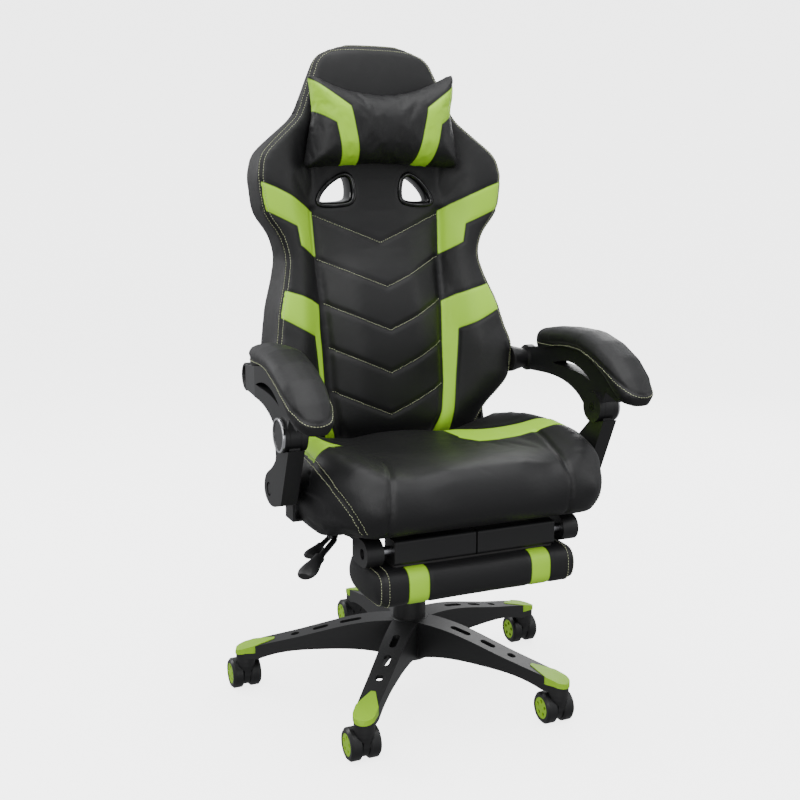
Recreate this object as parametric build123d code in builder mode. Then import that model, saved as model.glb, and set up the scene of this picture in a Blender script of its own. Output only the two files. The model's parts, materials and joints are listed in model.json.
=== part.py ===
from build123d import *
import math
import os

# Gaming chair with a pull-out footrest.  Millimetres, +Z up, the sitter faces -Y.
# The origin is on the floor under the gas lift.  The sitter's left is +X.

# ---------------------------------------------------------------- star base
leg_count = 5
leg_start_angle = 16.0          # first leg, counted from +X
stem_radius = 315.0             # caster stems lie on this circle
leg_root_width = 50.0
leg_tip_width = 37.0
leg_root_top = 140.0
leg_tip_top = 86.0
leg_root_bottom = 68.0
leg_mid_bottom = 83.0
leg_tip_bottom = 66.0
leg_wall = 4.0
leg_skin = 7.0
collar_bottom = 58.6            # underside of each caster collar
collar_depth = 24.0             # depth of the stem hole
leg_start = 30.0                # the legs begin inside the hub
leg_shoulder = stem_radius * 0.327      # stations along a leg, from the lift's axis
leg_waist = stem_radius * 0.476
leg_middle = stem_radius * 0.54
leg_dip = stem_radius * 0.692
leg_rise = stem_radius * 0.775
leg_dip_top = (leg_root_top + leg_tip_top) / 2 - 4
hollow_start = 54.0
hollow_open = 40.0              # the channel is cut from below the leg
hollow_end = stem_radius - leg_tip_width / 2 - 11.5
hub_radius = 41.0
hub_bottom = 62.0
hub_top = 141.0
slot_width = 13.0
slot_starts = (92.0, 156.0, 212.0)
slot_lengths = (42.0, 30.0, 16.0)
tip_cap_length = 74.0
tip_cap_thickness = 1.4

# ---------------------------------------------------------------- casters
wheel_radius = 29.0
wheel_width = 21.0
wheel_gap = 13.0                # between the inner faces of the two wheels
caster_trail = 14.0             # axle sits this far behind the stem
stem_diameter = 11.0
axle_diameter = 8.0
running_clearance = 0.05
caster_neck_width = 35.0
disc_radius = 19.5
disc_thickness = 3.0
disc_hole_count = 5

# ---------------------------------------------------------------- gas lift and sleeves
tube_radius = 25.0
tube_bottom = 60.0
tube_top = 287.0
tube_floor = 4.0
lift_radius = 14.0
lift_bore = 11.0
lift_bottom = 92.0
lift_seal = 12.0
lift_taper_radius = 13.0
lift_stroke = 80.0
rod_radius = 5.0
rod_top = 205.0
piston_height = 14.0
guide_length = 80.0
sleeve_wall = 1.7
sleeve_gap = 0.3
lower_sleeve_height = 110.0
middle_sleeve_bottom = 190.0
middle_sleeve_height = 100.0
upper_sleeve_height = 108.0

# ---------------------------------------------------------------- seat
mechanism_bottom = 338.0
mechanism_width = 110.0
mechanism_front = -112.0
mechanism_back = 70.0
pan_bottom = 400.0
pan_thickness = 12.0
pan_width = 450.0
pan_front = -270.0
pan_back = 66.0
steel_plate = 4.0
soft_gap = 0.3                  # soft solids stay this far from their neighbours

# ---------------------------------------------------------------- recline and arm linkage
recline_y = 140.0
recline_z = 508.0
hinge_plate = 5.0
hinge_inner_x = 200.7           # inner face of the back's side plates
hinge_disc_radius = 32.0
hinge_pin_radius = 8.0
arm_boss_y = 60.0
arm_boss_z = 617.0
arm_hub_y = -190.0
arm_hub_z = 562.0
# the four pivots make a parallelogram, so the fourth follows from the other three
link_foot_y = arm_hub_y - arm_boss_y + recline_y
link_foot_z = arm_hub_z - arm_boss_z + recline_z
arm_stud_radius = 6.0
arm_boss_radius = 25.5
arm_boss_waist = 18.0
arm_dish_radius = 20.0
arm_dish_depth = 5.0
arm_boss_outer_x = 296.0
arm_boss_inner_x = 241.4
arm_stud_end = arm_boss_outer_x - arm_dish_depth - 5
hub_drum_radius = 28.0
hub_inner_x = 274.0
hub_outer_x = 313.0
carrier_inner_x = 279.0
carrier_outer_x = 309.0
link_eye_inner_x = 286.0
link_eye_outer_x = 304.0
link_inner_x = 281.0
link_outer_x = 309.0
link_pin_radius = 6.0
open_pivot_clearance = 0.3
bracket_inner_x = 270.0
bracket_width = 40.0

# ---------------------------------------------------------------- footrest
rail_x = 183.0
rail_z = 379.0
rail_radius = 7.0
rail_sleeve_radius = 9.5
flip_y = -254.0
flip_z = 367.3
flip_tube_radius = 8.0
bracket_end_radius = 22.5
bracket_inner_edge = 168.4
bracket_outer_edge = 198.3
bar_half_width = 150.0
bar_gap = 3.0
footrest_half_width = 184.0
footrest_top = 342.8
footrest_bottom = 279.0
footrest_front = -296.0
footrest_back = -150.0
board_front = -272.0
board_back = -172.0

# ---------------------------------------------------------------- levers
height_pivot = (-57.0, -24.0, 352.0)
height_elbow = (-156.0, -44.0, 350.0)
height_end = (-244.0, -158.0, 351.0)
height_rod_radius = 4.5
recline_pivot = (-208.0, -140.0, 370.0)
recline_elbow = (-213.0, -166.0, 368.0)
recline_end = (-272.0, -228.0, 352.0)
recline_rod_radius = 5.0
lever_pin_radius = 3.0
lever_barrel_radius = 7.5
lever_barrel_length = 12.0
lever_ear = 3.0                 # thickness of the ears that carry the lever pins
lever_side_gap = 0.3

os.makedirs("parts", exist_ok=True)


def finish(piece, node):
    """Label a finished part and write its STEP file."""
    piece.part.label = node
    export_step(piece.part, f"parts/{node}.step")
    return piece.part


def tube(outer, inner, bottom, height):
    """A plain round tube standing on the Z axis."""
    with BuildPart() as ring:
        with BuildSketch(Plane.XY.offset(bottom)):
            Circle(outer)
            Circle(inner, mode=Mode.SUBTRACT)
        extrude(amount=height)
    return ring


def mirrored(part):
    """The same piece on the other side of the chair's centre plane."""
    with BuildPart() as other:
        add(mirror(part, about=Plane.YZ))
    return other


def x_plane(x):
    """A sketch plane square to X whose sketch axes are the chair's Y and Z."""
    return Plane(origin=(x, 0, 0), x_dir=(0, 1, 0), z_dir=(1, 0, 0))


# ================================================================ star base
def leg_profile(grow):
    """Side view of one leg along +X, grown outward at the top."""
    with BuildLine() as side:
        top = Spline(
            (leg_start, leg_root_top + grow),
            (leg_shoulder, leg_root_top - 5 + grow),
            (leg_dip, leg_dip_top + grow),
            (stem_radius, leg_tip_top + 1 + grow),
            (stem_radius + leg_tip_width / 2, leg_tip_top - 5 + grow),
        )
        nose_x = stem_radius + leg_tip_width / 2 + grow
        nose = RadiusArc(top @ 1, (nose_x, leg_tip_bottom + 4), 40, short_sagitta=True)
        drop = Line(nose @ 1, (nose_x, leg_tip_bottom))
        under = Line(drop @ 1, (stem_radius - leg_tip_width / 2 - 6, leg_tip_bottom))
        belly = Spline(
            under @ 1,
            (leg_rise, leg_mid_bottom - 4),
            (leg_middle, leg_mid_bottom + 1),
            (leg_shoulder - 23, leg_mid_bottom - 3),
            (leg_start, leg_root_bottom),
        )
        Line(belly @ 1, top @ 0)
    return side


def leg_blank(grow):
    """One leg along +X: its side view extruded and trimmed to its plan."""
    with BuildPart() as leg:
        with BuildSketch(Plane.XZ):
            add(leg_profile(grow).line)
            make_face()
        extrude(amount=leg_root_width, both=True)
        with BuildSketch(Plane.XY):
            with BuildLine():
                Polyline(
                    (leg_start, -leg_root_width / 2 - grow),
                    (leg_waist, -leg_tip_width / 2 - 3 - grow),
                    (stem_radius, -leg_tip_width / 2 - grow),
                    (stem_radius, leg_tip_width / 2 + grow),
                    (leg_waist, leg_tip_width / 2 + 3 + grow),
                    (leg_start, leg_root_width / 2 + grow),
                    close=True,
                )
            make_face()
            with Locations((stem_radius, 0)):
                Circle(leg_tip_width / 2 + grow)
        extrude(amount=leg_root_top * 2, mode=Mode.INTERSECT)
    return leg.part


leg_solid = leg_blank(0)
leg_angles = [leg_start_angle + 360 / leg_count * i for i in range(leg_count)]

with BuildPart() as leg_hollow:
    # the channel under a leg, open at the bottom
    with BuildSketch(Plane.XZ):
        with BuildLine():
            roof = Spline(
                (hollow_start, leg_root_top - leg_skin - 6),
                (leg_shoulder, leg_root_top - leg_skin - 5),
                (leg_dip, leg_dip_top - leg_skin),
                (hollow_end, leg_tip_top - leg_skin + 12),
            )
            Polyline(roof @ 1, (hollow_end, hollow_open), (hollow_start, hollow_open), roof @ 0)
        make_face()
    extrude(amount=leg_root_width, both=True)
    with BuildSketch(Plane.XY):
        with BuildLine():
            Polyline(
                (hollow_start, -leg_root_width / 2 + leg_wall + 1),
                (leg_waist, -leg_tip_width / 2 - 3 + leg_wall),
                (hollow_end, -leg_tip_width / 2 - 1 + leg_wall),
                (hollow_end, leg_tip_width / 2 + 1 - leg_wall),
                (leg_waist, leg_tip_width / 2 + 3 - leg_wall),
                (hollow_start, leg_root_width / 2 - leg_wall - 1),
                close=True,
            )
        make_face()
    extrude(amount=leg_root_top, mode=Mode.INTERSECT)

with BuildPart() as star_base:
    with BuildSketch(Plane.XZ):
        with BuildLine():
            Polyline(
                (0, hub_bottom),
                (hub_radius - 5, hub_bottom),
                (hub_radius + 2, hub_bottom + 7),
                (hub_radius, hub_top - 6),
                (hub_radius - 6, hub_top),
                (0, hub_top),
                close=True,
            )
        make_face()
    revolve(axis=Axis.Z)
    with PolarLocations(0, leg_count, start_angle=leg_start_angle):
        add(leg_solid)
        add(leg_hollow.part, mode=Mode.SUBTRACT)
    # through slots in the top of every leg
    for slot_start, slot_length in zip(slot_starts, slot_lengths):
        with BuildSketch(Plane.XY.offset(leg_root_bottom)):
            with PolarLocations(slot_start + slot_length / 2, leg_count, start_angle=leg_start_angle):
                SlotOverall(slot_length, slot_width)
        extrude(amount=leg_root_top, mode=Mode.SUBTRACT)
    # collars that take the caster stems
    with BuildSketch(Plane.XY.offset(collar_bottom)):
        with PolarLocations(stem_radius, leg_count, start_angle=leg_start_angle):
            Circle(leg_tip_width / 2)
    extrude(amount=leg_tip_top - collar_bottom - 8)
    with BuildSketch(Plane.XY.offset(collar_bottom)):
        with PolarLocations(stem_radius, leg_count, start_angle=leg_start_angle):
            Circle(stem_diameter / 2 + running_clearance)
    extrude(amount=collar_depth, mode=Mode.SUBTRACT)
    # seat of the gas lift tube
    with BuildSketch(Plane.XY):
        Circle(tube_radius)
    extrude(amount=hub_top * 2, mode=Mode.SUBTRACT)
finish(star_base, "star_base")

with BuildPart() as tip_blank:
    # a teardrop of the leg's own outer surface, one cap thickness proud
    add(leg_blank(tip_cap_thickness))
    with BuildSketch(Plane.XY):
        with BuildLine():
            cap_start = stem_radius + leg_tip_width / 2 - tip_cap_length
            cap_side = leg_tip_width / 2 + tip_cap_thickness
            Polyline(
                (cap_start, -4),
                (stem_radius - 12, -cap_side - 2),
                (stem_radius + 40, -cap_side - 2),
                (stem_radius + 40, cap_side + 2),
                (stem_radius - 12, cap_side + 2),
                (cap_start, 4),
                close=True,
            )
        make_face()
        fillet(vertices().sort_by(Axis.X)[:2], 3.5)
    extrude(amount=leg_root_top, mode=Mode.INTERSECT)
    with BuildSketch(Plane.XZ):
        with BuildLine():
            Polyline(
                (cap_start - 20, leg_tip_top - 6),
                (stem_radius, leg_tip_top - 8),
                (stem_radius + 40, leg_tip_top - 18),
                (stem_radius + 40, leg_root_top),
                (cap_start - 20, leg_root_top),
                close=True,
            )
        make_face()
    extrude(amount=leg_root_width, both=True, mode=Mode.INTERSECT)
    add(leg_solid, mode=Mode.SUBTRACT)

with BuildPart() as leg_tip_caps:
    with PolarLocations(0, leg_count, start_angle=leg_start_angle):
        add(tip_blank.part)
finish(leg_tip_caps, "leg_tip_caps")


# ================================================================ casters
hood_top = collar_bottom - 0.3


def caster_at(x, y, number):
    """Twin-wheel caster: hood, steel pins, two wheels and their cover discs."""
    axle_y = y + caster_trail
    axle_plane = Plane(origin=(x, axle_y, wheel_radius), x_dir=(0, 1, 0), z_dir=(1, 0, 0))
    web_half = wheel_gap / 2 - 0.4

    with BuildPart() as hood:
        with BuildSketch(Plane.XY.offset(12)):
            with Locations((x, y)):
                Circle(caster_neck_width / 2 - 9)
        with BuildSketch(Plane.XY.offset(hood_top - 8)):
            with Locations((x, y)):
                Circle(caster_neck_width / 2)
        loft()
        with BuildSketch(Plane.XY.offset(hood_top - 8)):
            with Locations((x, y)):
                Circle(caster_neck_width / 2)
        extrude(amount=8)
        # room for the wheels
        with BuildSketch(axle_plane):
            Circle(wheel_radius + 0.8)
        extrude(amount=caster_neck_width, both=True, mode=Mode.SUBTRACT)
        # web between the wheels
        with BuildSketch(axle_plane):
            Circle(wheel_radius - 5)
            with Locations((-caster_trail, (hood_top - wheel_radius) / 2)):
                Rectangle(24, hood_top - wheel_radius)
        extrude(amount=web_half, both=True)
        with BuildSketch(Plane.XY.offset(hood_top)):
            with Locations((x, y)):
                Circle(stem_diameter / 2)
        extrude(amount=-14, mode=Mode.SUBTRACT)
        with BuildSketch(axle_plane):
            Circle(axle_diameter / 2)
        extrude(amount=wheel_gap, both=True, mode=Mode.SUBTRACT)
    finish(hood, f"caster_hood_{number}")

    with BuildPart() as pins:
        with BuildSketch(Plane.XY.offset(hood_top - 14)):
            with Locations((x, y)):
                Circle(stem_diameter / 2)
        extrude(amount=14 + collar_depth - 2)
        chamfer(edges().group_by(Axis.Z)[-1], 1)
        with BuildSketch(axle_plane):
            Circle(axle_diameter / 2)
        extrude(amount=wheel_gap / 2 + wheel_width - disc_thickness - 1, both=True)
    finish(pins, f"caster_pins_{number}")

    with BuildPart() as wheels:
        for side in (-1, 1):
            inner = side * wheel_gap / 2
            outer = side * (wheel_gap / 2 + wheel_width)
            recess = outer - side * disc_thickness
            with BuildSketch(Plane(origin=(x, axle_y, wheel_radius), x_dir=(1, 0, 0), z_dir=(0, -1, 0))):
                with BuildLine():
                    Polyline(
                        (outer, disc_radius + 3),
                        (outer, wheel_radius - 4),
                        (outer - side * 4, wheel_radius),
                        (inner + side * 3, wheel_radius),
                        (inner, wheel_radius - 3),
                        (inner, axle_diameter / 2 + running_clearance),
                        (recess, axle_diameter / 2 + running_clearance),
                        (recess, disc_radius),
                        (outer, disc_radius),
                        close=True,
                    )
                make_face()
            revolve(axis=Axis((x, axle_y, wheel_radius), (1, 0, 0)))
    finish(wheels, f"caster_wheels_{number}")

    with BuildPart() as discs:
        for side in (-1, 1):
            outer = side * (wheel_gap / 2 + wheel_width - 0.6)
            with BuildSketch(axle_plane.offset(outer)):
                Circle(disc_radius)
                with PolarLocations(disc_radius * 0.62, disc_hole_count, start_angle=90):
                    Circle(3.6, mode=Mode.SUBTRACT)
            extrude(amount=-side * (disc_thickness - 0.6))
    finish(discs, f"caster_discs_{number}")


for index, angle in enumerate(leg_angles):
    stem_x = stem_radius * math.cos(math.radians(angle))
    stem_y = stem_radius * math.sin(math.radians(angle))
    caster_at(stem_x, stem_y, index + 1)


# ================================================================ gas lift
with BuildPart() as gas_cylinder:
    with BuildSketch(Plane.XY.offset(tube_bottom)):
        Circle(tube_radius)
    extrude(amount=tube_top - tube_bottom)
    with BuildSketch(Plane.XY.offset(tube_bottom + tube_floor)):
        Circle(tube_radius - 2)
    extrude(amount=tube_top - tube_bottom, mode=Mode.SUBTRACT)
    with BuildSketch(Plane.XY.offset(tube_bottom)):
        Circle(rod_radius + running_clearance)
    extrude(amount=tube_floor, mode=Mode.SUBTRACT)
finish(gas_cylinder, "gas_cylinder")

finish(
    tube(tube_radius - 2, lift_radius + running_clearance, tube_top - guide_length, guide_length),
    "cylinder_guide",
)

bearing_height = 6.0
bearing_bottom = tube_bottom + tube_floor + running_clearance
with BuildPart() as piston_rod:
    with BuildSketch(Plane.XY.offset(tube_bottom)):
        Circle(rod_radius)
    extrude(amount=rod_top - tube_bottom)
    with BuildSketch(Plane.XY.offset(rod_top - piston_height)):
        Circle(lift_bore - running_clearance)
    extrude(amount=piston_height)
finish(piston_rod, "piston_rod")
finish(tube(lift_radius + 4, rod_radius, bearing_bottom, bearing_height), "thrust_bearing")

lift_top = pan_bottom - steel_plate - 4
with BuildPart() as lift_tube:
    with BuildSketch(Plane.XZ):
        with BuildLine():
            Polyline(
                (0, lift_bottom),
                (lift_radius, lift_bottom),
                (lift_radius, mechanism_bottom),
                (lift_taper_radius, lift_top),
                (0, lift_top),
                close=True,
            )
        make_face()
    revolve(axis=Axis.Z)
    with BuildSketch(Plane.XY.offset(lift_bottom + lift_seal)):
        Circle(lift_bore)
    extrude(amount=lift_top - lift_bottom - lift_seal - 12, mode=Mode.SUBTRACT)
    with BuildSketch(Plane.XY.offset(lift_bottom)):
        Circle(rod_radius + running_clearance)
    extrude(amount=lift_seal, mode=Mode.SUBTRACT)
finish(lift_tube, "lift_tube")

# three telescoping dust sleeves round the lift, the narrowest on top
upper_sleeve_inner = tube_radius + sleeve_gap
middle_sleeve_inner = upper_sleeve_inner + sleeve_wall + sleeve_gap
lower_sleeve_inner = middle_sleeve_inner + sleeve_wall + sleeve_gap
finish(
    tube(lower_sleeve_inner + sleeve_wall, lower_sleeve_inner, hub_top, lower_sleeve_height),
    "lower_sleeve",
)
finish(
    tube(middle_sleeve_inner + sleeve_wall, middle_sleeve_inner, middle_sleeve_bottom, middle_sleeve_height),
    "middle_sleeve",
)
finish(
    tube(
        upper_sleeve_inner + sleeve_wall,
        upper_sleeve_inner,
        mechanism_bottom - upper_sleeve_height,
        upper_sleeve_height,
    ),
    "upper_sleeve",
)

# ================================================================ lever pivots
height_axis = (0.0, 1.0, 0.0)
recline_axis = (-0.98, 0.196, 0.0)


def lever_pivot(pivot, axis, strap_centre, strap_size, ears):
    """Ears and a pin that carry a lever; each ear's strap reaches the plate it stands on."""
    reach = lever_barrel_length / 2 + lever_side_gap
    across = Vector(*axis).cross(Vector(0, 0, 1))
    with BuildPart() as carrier:
        for ear in ears:
            face = Plane(origin=Vector(*pivot) + Vector(*axis) * ear * reach, x_dir=across, z_dir=axis)
            with BuildSketch(face):
                Circle(lever_barrel_radius)
                with Locations(strap_centre):
                    Rectangle(*strap_size)
            extrude(amount=ear * lever_ear)
        with BuildSketch(Plane(origin=Vector(*pivot) - Vector(*axis) * (reach + lever_ear), z_dir=axis)):
            Circle(lever_pin_radius)
        extrude(amount=2 * (reach + lever_ear))
    return carrier.part


# ================================================================ seat mechanism and pan
mechanism_wall = 3.0
mechanism_middle = (mechanism_front + mechanism_back) / 2
with BuildPart() as seat_mechanism:
    # pressed housing, narrower at the bottom and open at the top
    for inset in (0, mechanism_wall):
        with BuildSketch(Plane.XY.offset(mechanism_bottom + inset)):
            with Locations((0, mechanism_middle)):
                RectangleRounded(
                    mechanism_width - 22 - 2 * inset, mechanism_back - mechanism_front - 30 - 2 * inset, 12
                )
        with BuildSketch(Plane.XY.offset(pan_bottom - steel_plate)):
            with Locations((0, mechanism_middle)):
                RectangleRounded(mechanism_width - 2 * inset, mechanism_back - mechanism_front - 2 * inset, 12)
        loft(mode=Mode.SUBTRACT if inset else Mode.ADD)
    with BuildSketch(Plane.XY.offset(mechanism_bottom)):
        Circle(lift_radius + 5)
    extrude(amount=lift_top - mechanism_bottom)
    with BuildSketch(Plane.XZ):
        with BuildLine():
            Polyline(
                (0, mechanism_bottom - 1),
                (lift_radius, mechanism_bottom - 1),
                (lift_radius, mechanism_bottom),
                (lift_taper_radius, lift_top),
                (0, lift_top),
                close=True,
            )
        make_face()
    revolve(axis=Axis.Z, mode=Mode.SUBTRACT)
    with BuildSketch(Plane.XY.offset(pan_bottom - steel_plate)):
        with Locations((0, (mechanism_front + mechanism_back) / 2)):
            RectangleRounded(mechanism_width + 90, mechanism_back - mechanism_front + 40, 12)
            Rectangle(mechanism_width - 24, mechanism_back - mechanism_front - 40, mode=Mode.SUBTRACT)
            with GridLocations(mechanism_width + 60, 150, 2, 2):
                Circle(4, mode=Mode.SUBTRACT)
    extrude(amount=steel_plate)
    add(lever_pivot(height_pivot, height_axis, (6, 0), (12, 2 * lever_barrel_radius), (-1, 1)))
finish(seat_mechanism, "seat_mechanism")

with BuildPart() as seat_pan:
    with BuildSketch(Plane.XY.offset(pan_bottom)):
        with Locations((0, (pan_front + pan_back) / 2)):
            RectangleRounded(pan_width, pan_back - pan_front, 30)
            with Locations((0, (mechanism_front + mechanism_back - pan_front - pan_back) / 2)):
                with GridLocations(mechanism_width + 60, 150, 2, 2):
                    Circle(4, mode=Mode.SUBTRACT)
    extrude(amount=pan_thickness)
finish(seat_pan, "seat_pan")

# rows of the cushion from the back to the front edge:
# y, half width, underside beside the pan, underside over the pan, side bolsters, middle
pan_top = pan_bottom + pan_thickness
skirt_bottom = pan_bottom + soft_gap
seat_rows = (
    (79, 226, 424, 426, 497, 489),
    (56, 250, 410, 414, 507, 490),
    (0, 258, skirt_bottom, pan_top, 519, 488),
    (-60, 265, skirt_bottom, pan_top, 526, 487),
    (-130, 266, skirt_bottom, pan_top, 530, 490),
    (-200, 264, skirt_bottom, pan_top, 526, 499),
    (-250, 253, skirt_bottom, pan_top, 520, 508),
    (pan_front - soft_gap, 246, skirt_bottom, pan_top, 516, 509),
    (pan_front - 1, 245, skirt_bottom, skirt_bottom + 1, 516, 509),
    (-302, 228, 408, 404, 505, 507),
    (-320, 210, 424, 417, 487, 491),
    (-329, 194, 444, 438, 466, 469),
)


def seat_section(y, half, skirt, under, bolster, middle):
    """Cross-section of the seat cushion at one depth."""
    rise = bolster - skirt
    room = min(pan_width / 2 + soft_gap, half - 24)
    right = [
        (room, under),
        (room + 0.5, skirt),
        (half - 22, skirt),
        (half - 4, skirt + rise * 0.2),
        (half, skirt + rise * 0.5),
        (half - 10, bolster - rise * 0.25),
        (half - 42, bolster),
        (half - 104, middle * 0.4 + bolster * 0.6 - 10),
        (half * 0.3, middle),
    ]
    left = [(-x, z) for x, z in reversed(right)]
    with BuildSketch(Plane(origin=(0, y, 0), x_dir=(1, 0, 0), z_dir=(0, -1, 0))) as outline:
        with BuildLine():
            Polyline(*(right + left), close=True)
        make_face()
    return outline.sketch


with BuildPart() as seat_cushion:
    for row in seat_rows:
        add(seat_section(*row))
    loft(ruled=True)
finish(seat_cushion, "seat_cushion")

# ================================================================ recline hinge, seat side
seat_plate_x = hinge_inner_x + hinge_plate + 0.3
with BuildPart() as recline_plates:
    for side in (-1, 1):
        with BuildSketch(x_plane(side * seat_plate_x)):
            with BuildLine():
                Polyline(
                    (-30, pan_bottom - 24),
                    (100, pan_bottom - 24),
                    (recline_y + 20, pan_bottom + 26),
                    (recline_y + hinge_disc_radius, recline_z),
                    (recline_y - hinge_disc_radius, recline_z),
                    (88, pan_bottom + 36),
                    (84, pan_bottom),
                    (-30, pan_bottom),
                    close=True,
                )
            make_face()
            with Locations((recline_y, recline_z)):
                Circle(hinge_disc_radius)
        extrude(amount=side * hinge_plate)
        # foot flange bolted up under the pan
        with BuildSketch(Plane.XY.offset(pan_bottom - steel_plate)):
            with Locations((side * (seat_plate_x + hinge_plate - 10), 15)):
                Rectangle(20, 90)
        extrude(amount=steel_plate)
        with BuildSketch(x_plane(side * (hinge_inner_x - 10))):
            with Locations((recline_y, recline_z)):
                Circle(hinge_pin_radius)
        extrude(amount=side * (hinge_plate * 2 + 16))
        with BuildSketch(x_plane(side * (seat_plate_x + hinge_plate))):
            with Locations((recline_y, recline_z)):
                RegularPolygon(hinge_pin_radius + 5, 6)
        extrude(amount=side * 6)
finish(recline_plates, "recline_plates")

# ================================================================ arm brackets on the seat
with BuildPart() as arm_bracket_left:
    with BuildSketch(Plane.XY.offset(pan_bottom - steel_plate)):
        with Locations(((pan_width / 2 - 60 + bracket_inner_x + steel_plate) / 2, link_foot_y)):
            Rectangle(bracket_inner_x + steel_plate - pan_width / 2 + 60, bracket_width)
    extrude(amount=steel_plate)
    with BuildSketch(x_plane(bracket_inner_x)):
        with Locations((link_foot_y, (pan_bottom - steel_plate + link_foot_z) / 2)):
            Rectangle(bracket_width, link_foot_z - pan_bottom + steel_plate)
        with Locations((link_foot_y, link_foot_z)):
            Circle(bracket_width / 2)
    extrude(amount=steel_plate)
    with BuildSketch(x_plane(bracket_inner_x)):
        with Locations((link_foot_y, link_foot_z)):
            Circle(link_pin_radius)
    extrude(amount=link_outer_x - 4 - bracket_inner_x)
    with BuildSketch(x_plane(bracket_inner_x + steel_plate)):
        with Locations((link_foot_y, link_foot_z)):
            Circle(link_pin_radius + 4)
    extrude(amount=link_inner_x - 0.3 - bracket_inner_x - steel_plate)
    with BuildSketch(x_plane(link_outer_x - 4)):
        with Locations((link_foot_y, link_foot_z)):
            RegularPolygon(link_pin_radius + 4, 6)
    extrude(amount=3)

with BuildPart() as arm_brackets:
    add(arm_bracket_left.part)
    add(mirror(arm_bracket_left.part, about=Plane.YZ))
    # the right bracket also carries the recline lever, on an ear under a tab
    lever_drop = pan_bottom - steel_plate - recline_pivot[2]
    with BuildSketch(Plane.XY.offset(pan_bottom - steel_plate)):
        with Locations((recline_pivot[0], recline_pivot[1] - 6)):
            Rectangle(26, 26)
    extrude(amount=steel_plate)
    add(
        lever_pivot(
            recline_pivot, recline_axis, (0, -lever_drop / 2), (2 * lever_barrel_radius, lever_drop), (-1,)
        )
    )
finish(arm_brackets, "arm_brackets")

# ================================================================ links
with BuildPart() as link_left:
    with BuildSketch(x_plane(link_inner_x)):
        with BuildLine():
            front = Line((arm_hub_y - 29, arm_hub_z - 22), (link_foot_y - 64, link_foot_z - 13))
            heel = Spline(
                front @ 1,
                (link_foot_y - 40, link_foot_z - 21),
                (link_foot_y + 4, link_foot_z - 24),
                (link_foot_y + 25, link_foot_z - 8),
                (link_foot_y + 20, link_foot_z + 16),
                (link_foot_y - 16, link_foot_z + 40),
                (link_foot_y - 44, link_foot_z + 62),
                (arm_hub_y + 18, arm_hub_z - 30),
            )
            Line(heel @ 1, front @ 0)
        make_face()
    extrude(amount=link_outer_x - link_inner_x)
    with BuildSketch(x_plane(link_inner_x)):
        with Locations((arm_hub_y, arm_hub_z)):
            Circle(hub_drum_radius + 0.6)
    extrude(amount=link_outer_x - link_inner_x, mode=Mode.SUBTRACT)
    with BuildSketch(x_plane(link_eye_inner_x)):
        with Locations((arm_hub_y, arm_hub_z)):
            Circle(hub_drum_radius)
        with BuildLine():
            Polyline(
                (arm_hub_y - 20, arm_hub_z - 15),
                (arm_hub_y + 14, arm_hub_z - 17),
                (arm_hub_y + 12, arm_hub_z - 36),
                (arm_hub_y - 22, arm_hub_z - 36),
                close=True,
            )
        make_face()
    extrude(amount=link_eye_outer_x - link_eye_inner_x)
    with BuildSketch(x_plane(link_inner_x)):
        with Locations((arm_hub_y, arm_hub_z)):
            Circle(hinge_pin_radius + open_pivot_clearance)
        with Locations((link_foot_y, link_foot_z)):
            Circle(link_pin_radius + running_clearance)
    extrude(amount=link_outer_x - link_inner_x, mode=Mode.SUBTRACT)
    with BuildSketch(x_plane(link_outer_x)):
        with Locations((link_foot_y, link_foot_z)):
            Circle(link_pin_radius + 6)
    extrude(amount=-4.3, mode=Mode.SUBTRACT)
finish(link_left, "arm_link_left")
finish(mirrored(link_left.part), "arm_link_right")


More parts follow.
